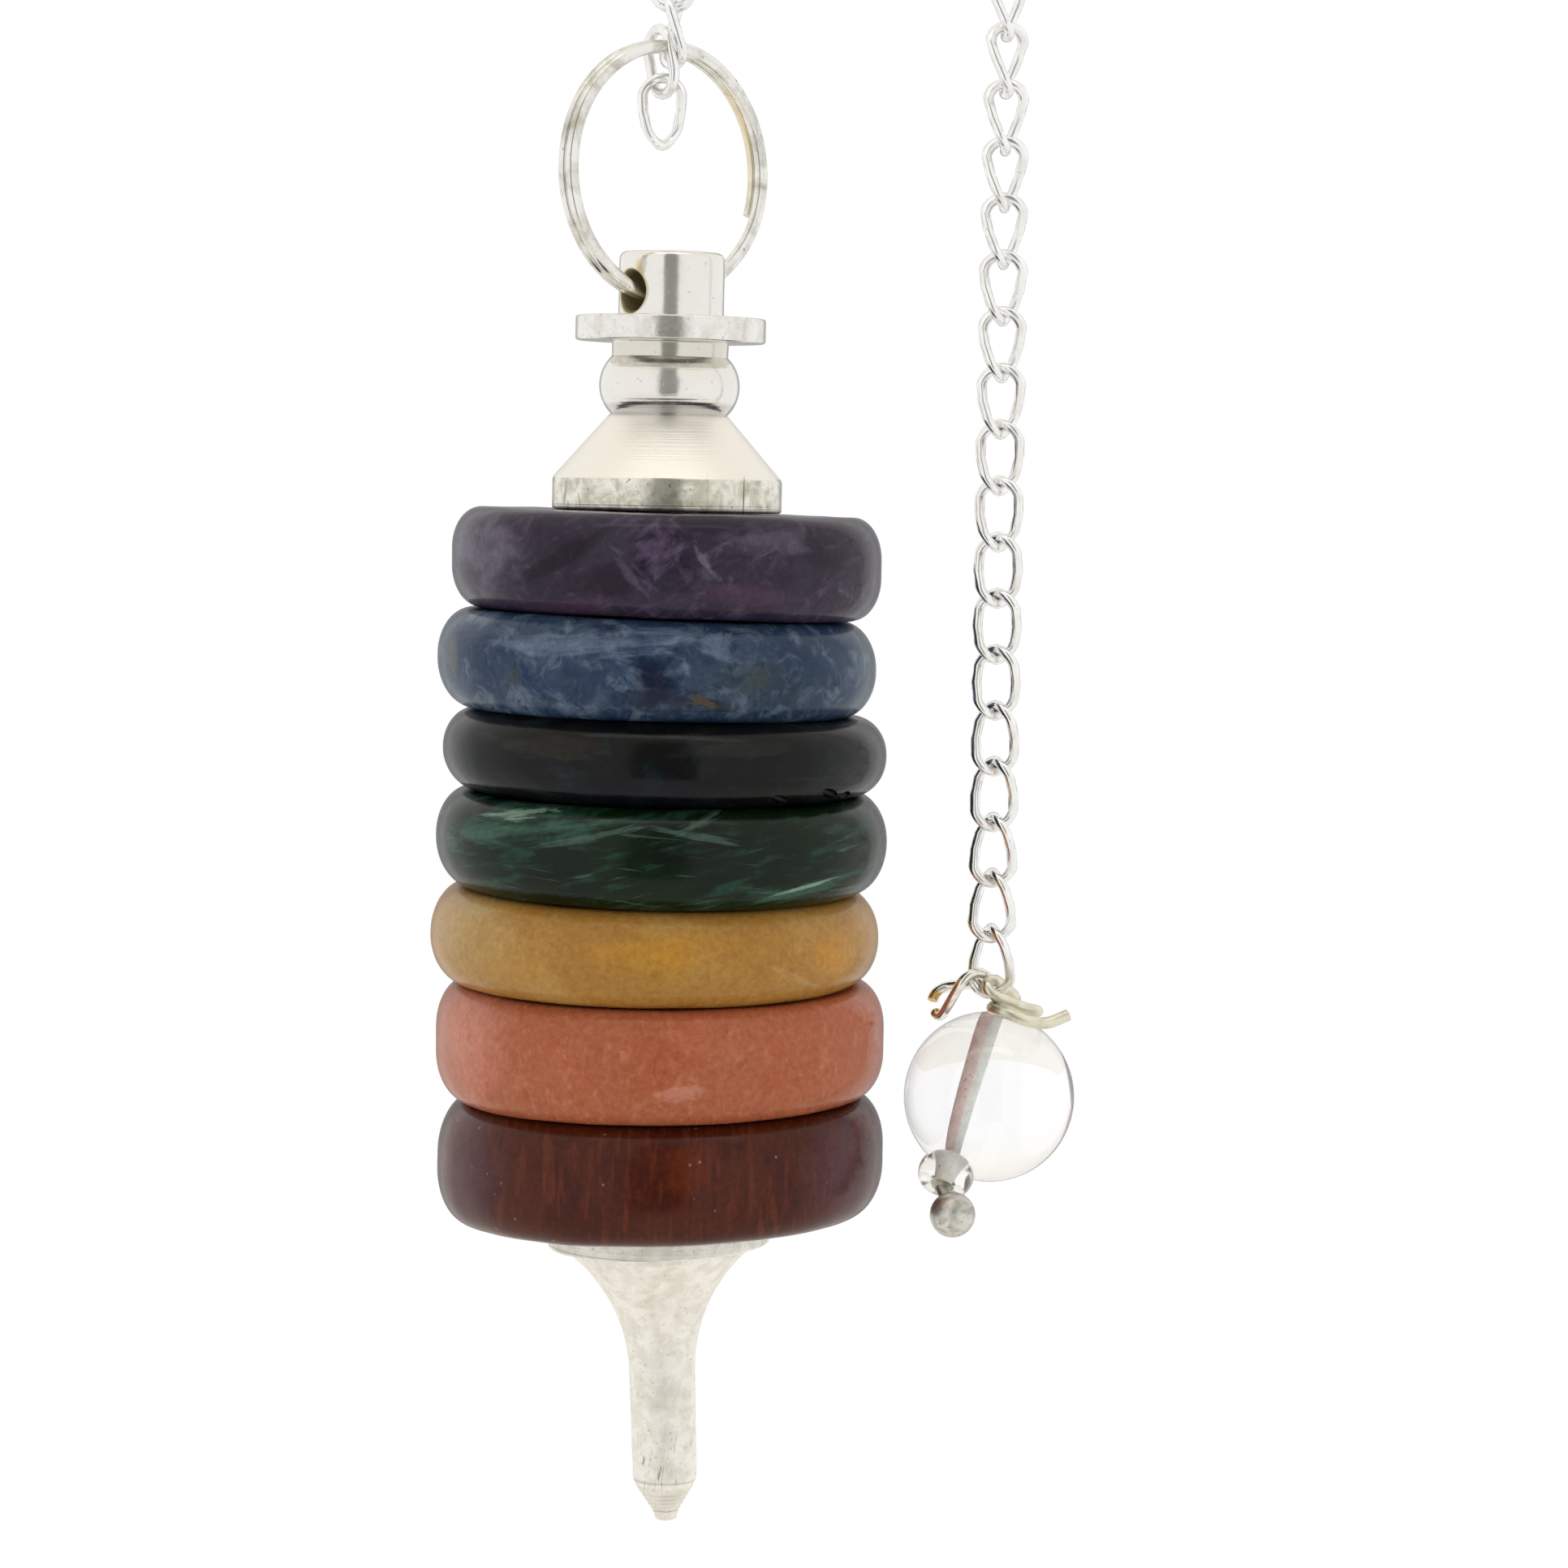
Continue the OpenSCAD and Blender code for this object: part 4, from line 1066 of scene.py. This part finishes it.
class PENDANT_OT_point(bpy.types.Operator):
    """Turn the point with its flange, hollow curve, stem and sharpened end"""
    bl_idname = "pendant.point"
    bl_label = "Point"

    def execute(self, context):
        flange_r, flange_z = 5.2, -1.4
        stem_r, stem_z, end_z = 1.5, -12.62, -14.62
        groove_z, groove_pitch, taper = -13.12, 0.21, 0.62
        flange = rounded([(0, 0), (flange_r, 0, 0.14), (flange_r, flange_z + 0.03, 0.05),
                          (4.26, flange_z, 0.03), (4.2, flange_z - 0.3)], 5)
        trumpet = arc((9.2, -7.55), 7.65, 130.6, 180, 22)
        stem = rounded([(stem_r + 0.05, -8.2), (stem_r, stem_z, 0.1), (1.31, stem_z - 0.4, 0.1),
                        (1.27, groove_z)], 4)
        grooves = []
        for k in range(5):
            z = groove_z - groove_pitch * k
            r = 1.28 + (z + 13.05) * taper
            grooves += [(r, z), (r - 0.02, z - 0.09), (r - 0.14, z - 0.12), (r - 0.15, z - 0.17)]
        tip = rounded([(0.62, end_z + 0.45), (0.56, end_z + 0.32, 0.05), (0.5, end_z, 0.3), (0, end_z)], 6)
        point = turned("turned_point", flange[:-1] + trumpet + stem[:-1] + grooves + tip, 160)
        settle(point, tilted(POINT_Z, POINT_TILT, -STACK_GAP))
        smooth(point, 32)
        material, shader, place = plating_material(
            "Point plating", (FOB_X, 0, POINT_Z), context.scene.pendant_cap.point_colour,
            (0.84, 0.81, 0.74), 0.62, scale=1.0, stain=0.6, depth=0.02, period=0.12)
        lay_over(shader, 0.45, mottle(place, (0.95, 0.92, 0.86, 1), (0.68, 0.65, 0.56, 1), 1.3))
        nicks = effect("Stone streaks", Vector=place, Turn=86, Length=0.9, Thickness=0.12,
                       Low=0.6, High=0.7)["Mask"]
        lay_over(shader, times(nicks, band(place, -13.0, -10.5, 1.2)), (0.45, 0.42, 0.36, 1))
        lay_over(shader, band(place, -14.3, -12.95, 0.1), (0.8, 0.77, 0.7, 1), share=0.5)
        # Painted shadow: thin dark lines under the flange's edge and under the stem's shoulder
        for edge in (flange_z, stem_z - 0.04):
            lay_over(shader, band(place, edge - 0.03, edge + 0.03), (0.36, 0.34, 0.3, 1), share=0.55)
        finish_piece(point, "point", material)
        return {"FINISHED"}


class PENDANT_OT_stone_discs(bpy.types.Operator):
    """Model the seven drilled and polished stone discs, each between the slopes of its neighbours"""
    bl_idname = "pendant.stone_discs"
    bl_label = "Stone discs"

    def execute(self, context):
        settings = context.scene.pendant_stones
        bore_r = 1.9
        tilts = [(CAP_TILT, 0)] + [row[3] for row in DISCS.values()] + [(POINT_TILT, 0)]
        top = CAP_Z
        for i, (stone, (share, radius, shift, _, (across, up), matt)) in enumerate(DISCS.items()):
            slopes = [[(a + b) / 2 for a, b in zip(tilts[i + k], tilts[i + k + 1])] for k in (0, 1)]
            middle = Vector((FOB_X + shift, 0, top - share * STACK_H / 2))
            half = (share * STACK_H - STACK_GAP) / 2
            up = min(up, half - 0.03)
            lower = [(bore_r, -half), (radius / 2, -half)] + arc((radius - across, up - half), across, -90, 0,
                                                                 14, up / across)
            disc = turned(stone + "_stone", lower + mirrored(lower) + lower[:1], settings.steps)
            lean(disc, half * 2, *slopes)
            settle(disc, moved(*middle))
            wear_uneven(disc, 5.0, settings.unevenness / MM)
            if stone == "dark_sodalite":
                self.chip(disc, middle, radius, half)
            smooth(disc, 40)
            finish_piece(disc, stone + "_disc", stone_material(
                disc.name + "_polish", middle, radius, getattr(settings, stone), STONE_LAYERS[stone],
                settings.roughness + matt))
            top -= share * STACK_H
        return {"FINISHED"}

    def chip(self, disc, middle, radius, half):
        """Break small chips off the lower edge, at the front right."""
        for turn, drop, size in ((-57, 0.25, (0.62, 0.3, 0.22)), (-40, 0.45, (0.85, 0.34, 0.25)),
                                 (-31, 0.2, (0.5, 0.3, 0.3))):
            deselect()
            bpy.ops.mesh.primitive_ico_sphere_add(subdivisions=3, radius=1, location=(0, 0, 0))
            tool = bpy.context.object
            tool.scale = Vector(size) * MM
            a = math.radians(turn)
            reach = radius - 0.34 * (half - drop) - 0.1
            at = middle + Vector((math.cos(a) * reach, math.sin(a) * reach, drop - half))
            around = Matrix.Rotation(a + math.pi / 2, 4, "Z") @ Matrix.Rotation(0.35, 4, "Y")
            settle(tool, moved(*at) @ around)
            cut_away(disc, tool)


class PENDANT_OT_centre_rod(bpy.types.Operator):
    """Give the hidden rod its steel finish"""
    bl_idname = "pendant.centre_rod"
    bl_label = "Centre rod"

    def execute(self, context):
        steel = plating_material("Rod steel", (FOB_X, 0, CAP_Z), (0.5, 0.5, 0.5), (0.35, 0.34, 0.32), 0.35,
                                 period=0.2)[0]
        rod = frame["nodes"]["centre_rod"]
        rod.data.materials.clear()
        rod.data.materials.append(steel)
        return {"FINISHED"}


class PENDANT_OT_stage(bpy.types.Operator):
    """Set up the camera, the light tent and the floor"""
    bl_idname = "pendant.stage"
    bl_label = "Stage"

    def execute(self, context):
        settings = context.scene.pendant_stage
        scene = context.scene
        scene.view_settings.view_transform = "Standard"

        pitch, roll = math.radians(4), math.radians(0.8)
        target = Vector((-2.1, 0, -94.25)) * MM
        distance = 0.2053
        forward = Vector((0, math.cos(pitch), -math.sin(pitch)))
        level = RIGHT.cross(forward)
        right = RIGHT * math.cos(roll) + level * math.sin(roll)
        place = Matrix((right, right.cross(forward), -forward)).transposed().to_4x4()
        place.translation = target - forward * distance
        deselect()
        bpy.ops.object.camera_add()
        camera = named("photo_camera")
        camera.matrix_world = place
        camera.data.sensor_width = 36
        camera.data.lens = 100.62
        camera.data.clip_start = 0.01
        scene.camera = camera

        scene.world = bpy.data.worlds.new("Light tent")
        scene.world.use_nodes = True
        nodes = scene.world.node_tree.nodes
        nodes.clear()
        towards = parts_of(nodes.new("ShaderNodeTexCoord").outputs["Generated"])
        azimuth = calc("ABSOLUTE", calc("ARCTAN2", towards[0], times(towards[1], -1.0)))
        sides = ramp(azimuth, math.radians(14), math.radians(18))
        cloth = calc("MAXIMUM", sides, ramp(towards[2], 0.75, 0.95))
        colour = mixed(ramp(towards[2], 0.1, 0.9), (1, 1, 1, 1), (1.0, 0.965, 0.9, 1))
        colour = mixed(cloth, (*settings.slit, 1), colour)
        # Surfaces mirror a greyer back of the tent than the clear ball shows
        path = nodes.new("ShaderNodeLightPath").outputs
        in_mirror = calc("MAXIMUM", calc("SUBTRACT", path["Is Glossy Ray"], path["Is Transmission Ray"]), 0.0)
        behind = times(ramp(towards[1], 0.84, 0.95), in_mirror)
        colour = mixed(times(behind, 0.7), colour, (0.2, 0.2, 0.2, 1))
        lit = add("ShaderNodeBackground", {"Color": colour, "Strength": settings.tent})
        plain = nodes.new("ShaderNodeBackground")
        plain.inputs["Color"].default_value = (1, 1, 1, 1)
        both = add("ShaderNodeMixShader", {0: path["Is Camera Ray"], 1: lit.outputs[0], 2: plain.outputs[0]})
        add("ShaderNodeOutputWorld", {"Surface": both.outputs[0]})

        bpy.ops.object.light_add(type="AREA", location=(0, -0.12, 0.32))
        lamp = named("overhead_light").data
        lamp.shape = "RECTANGLE"
        lamp.size = 0.45
        lamp.size_y = 0.07
        lamp.energy = settings.overhead

        bpy.ops.mesh.primitive_plane_add(size=0.8, location=(0, 0, -0.3))
        floor = named("pale_floor")
        material, shader, place = new_material("Pale floor")
        spread = noise(place, 0.02, 2.0)
        feed(mixed(spread, (0.96, 0.96, 0.95, 1), (0.98, 0.98, 0.97, 1)), shader, "Base Color")
        shader.inputs["Roughness"].default_value = 0.8
        floor.data.materials.append(material)
        return {"FINISHED"}


class PENDANT_PT_pieces(bpy.types.Panel):
    """The pendant's pieces and stage"""
    bl_idname = "PENDANT_PT_pieces"
    bl_label = "Pendulum pendant"
    bl_space_type = "VIEW_3D"
    bl_region_type = "UI"
    bl_category = "Pendant"

    def draw(self, context):
        for operator in STEPS:
            self.layout.operator(operator.bl_idname)
        for name in SETTINGS:
            group = getattr(context.scene, name)
            box = self.layout.box()
            for key in group.__annotations__:
                box.prop(group, key)


STEPS = [PENDANT_OT_stage, PENDANT_OT_chain_links, PENDANT_OT_open_link, PENDANT_OT_ball_drop,
         PENDANT_OT_split_ring, PENDANT_OT_top_cap, PENDANT_OT_stone_discs, PENDANT_OT_point,
         PENDANT_OT_centre_rod]
SETTINGS = {"pendant_chain": ChainSettings, "pendant_ring": RingSettings, "pendant_cap": CapSettings,
            "pendant_stones": StoneSettings, "pendant_drop": DropSettings, "pendant_stage": StageSettings}


def register():
    """Register the classes and the settings."""
    for kind in [*SETTINGS.values(), *STEPS, PENDANT_PT_pieces]:
        bpy.utils.register_class(kind)
    for name, kind in SETTINGS.items():
        setattr(bpy.types.Scene, name, PointerProperty(type=kind))


def unregister():
    """Take the settings and the classes away again."""
    for name in SETTINGS:
        delattr(bpy.types.Scene, name)
    for kind in reversed([*SETTINGS.values(), *STEPS, PENDANT_PT_pieces]):
        bpy.utils.unregister_class(kind)


def main():
    """Build everything in order."""
    register()
    bpy.ops.pendant.stage()
    bpy.ops.pendant.chain_links()
    bpy.ops.pendant.open_link()
    bpy.ops.pendant.ball_drop()
    bpy.ops.pendant.split_ring()
    bpy.ops.pendant.top_cap()
    bpy.ops.pendant.stone_discs()
    bpy.ops.pendant.point()
    bpy.ops.pendant.centre_rod()
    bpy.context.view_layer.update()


if __name__ == "__main__":
    main()
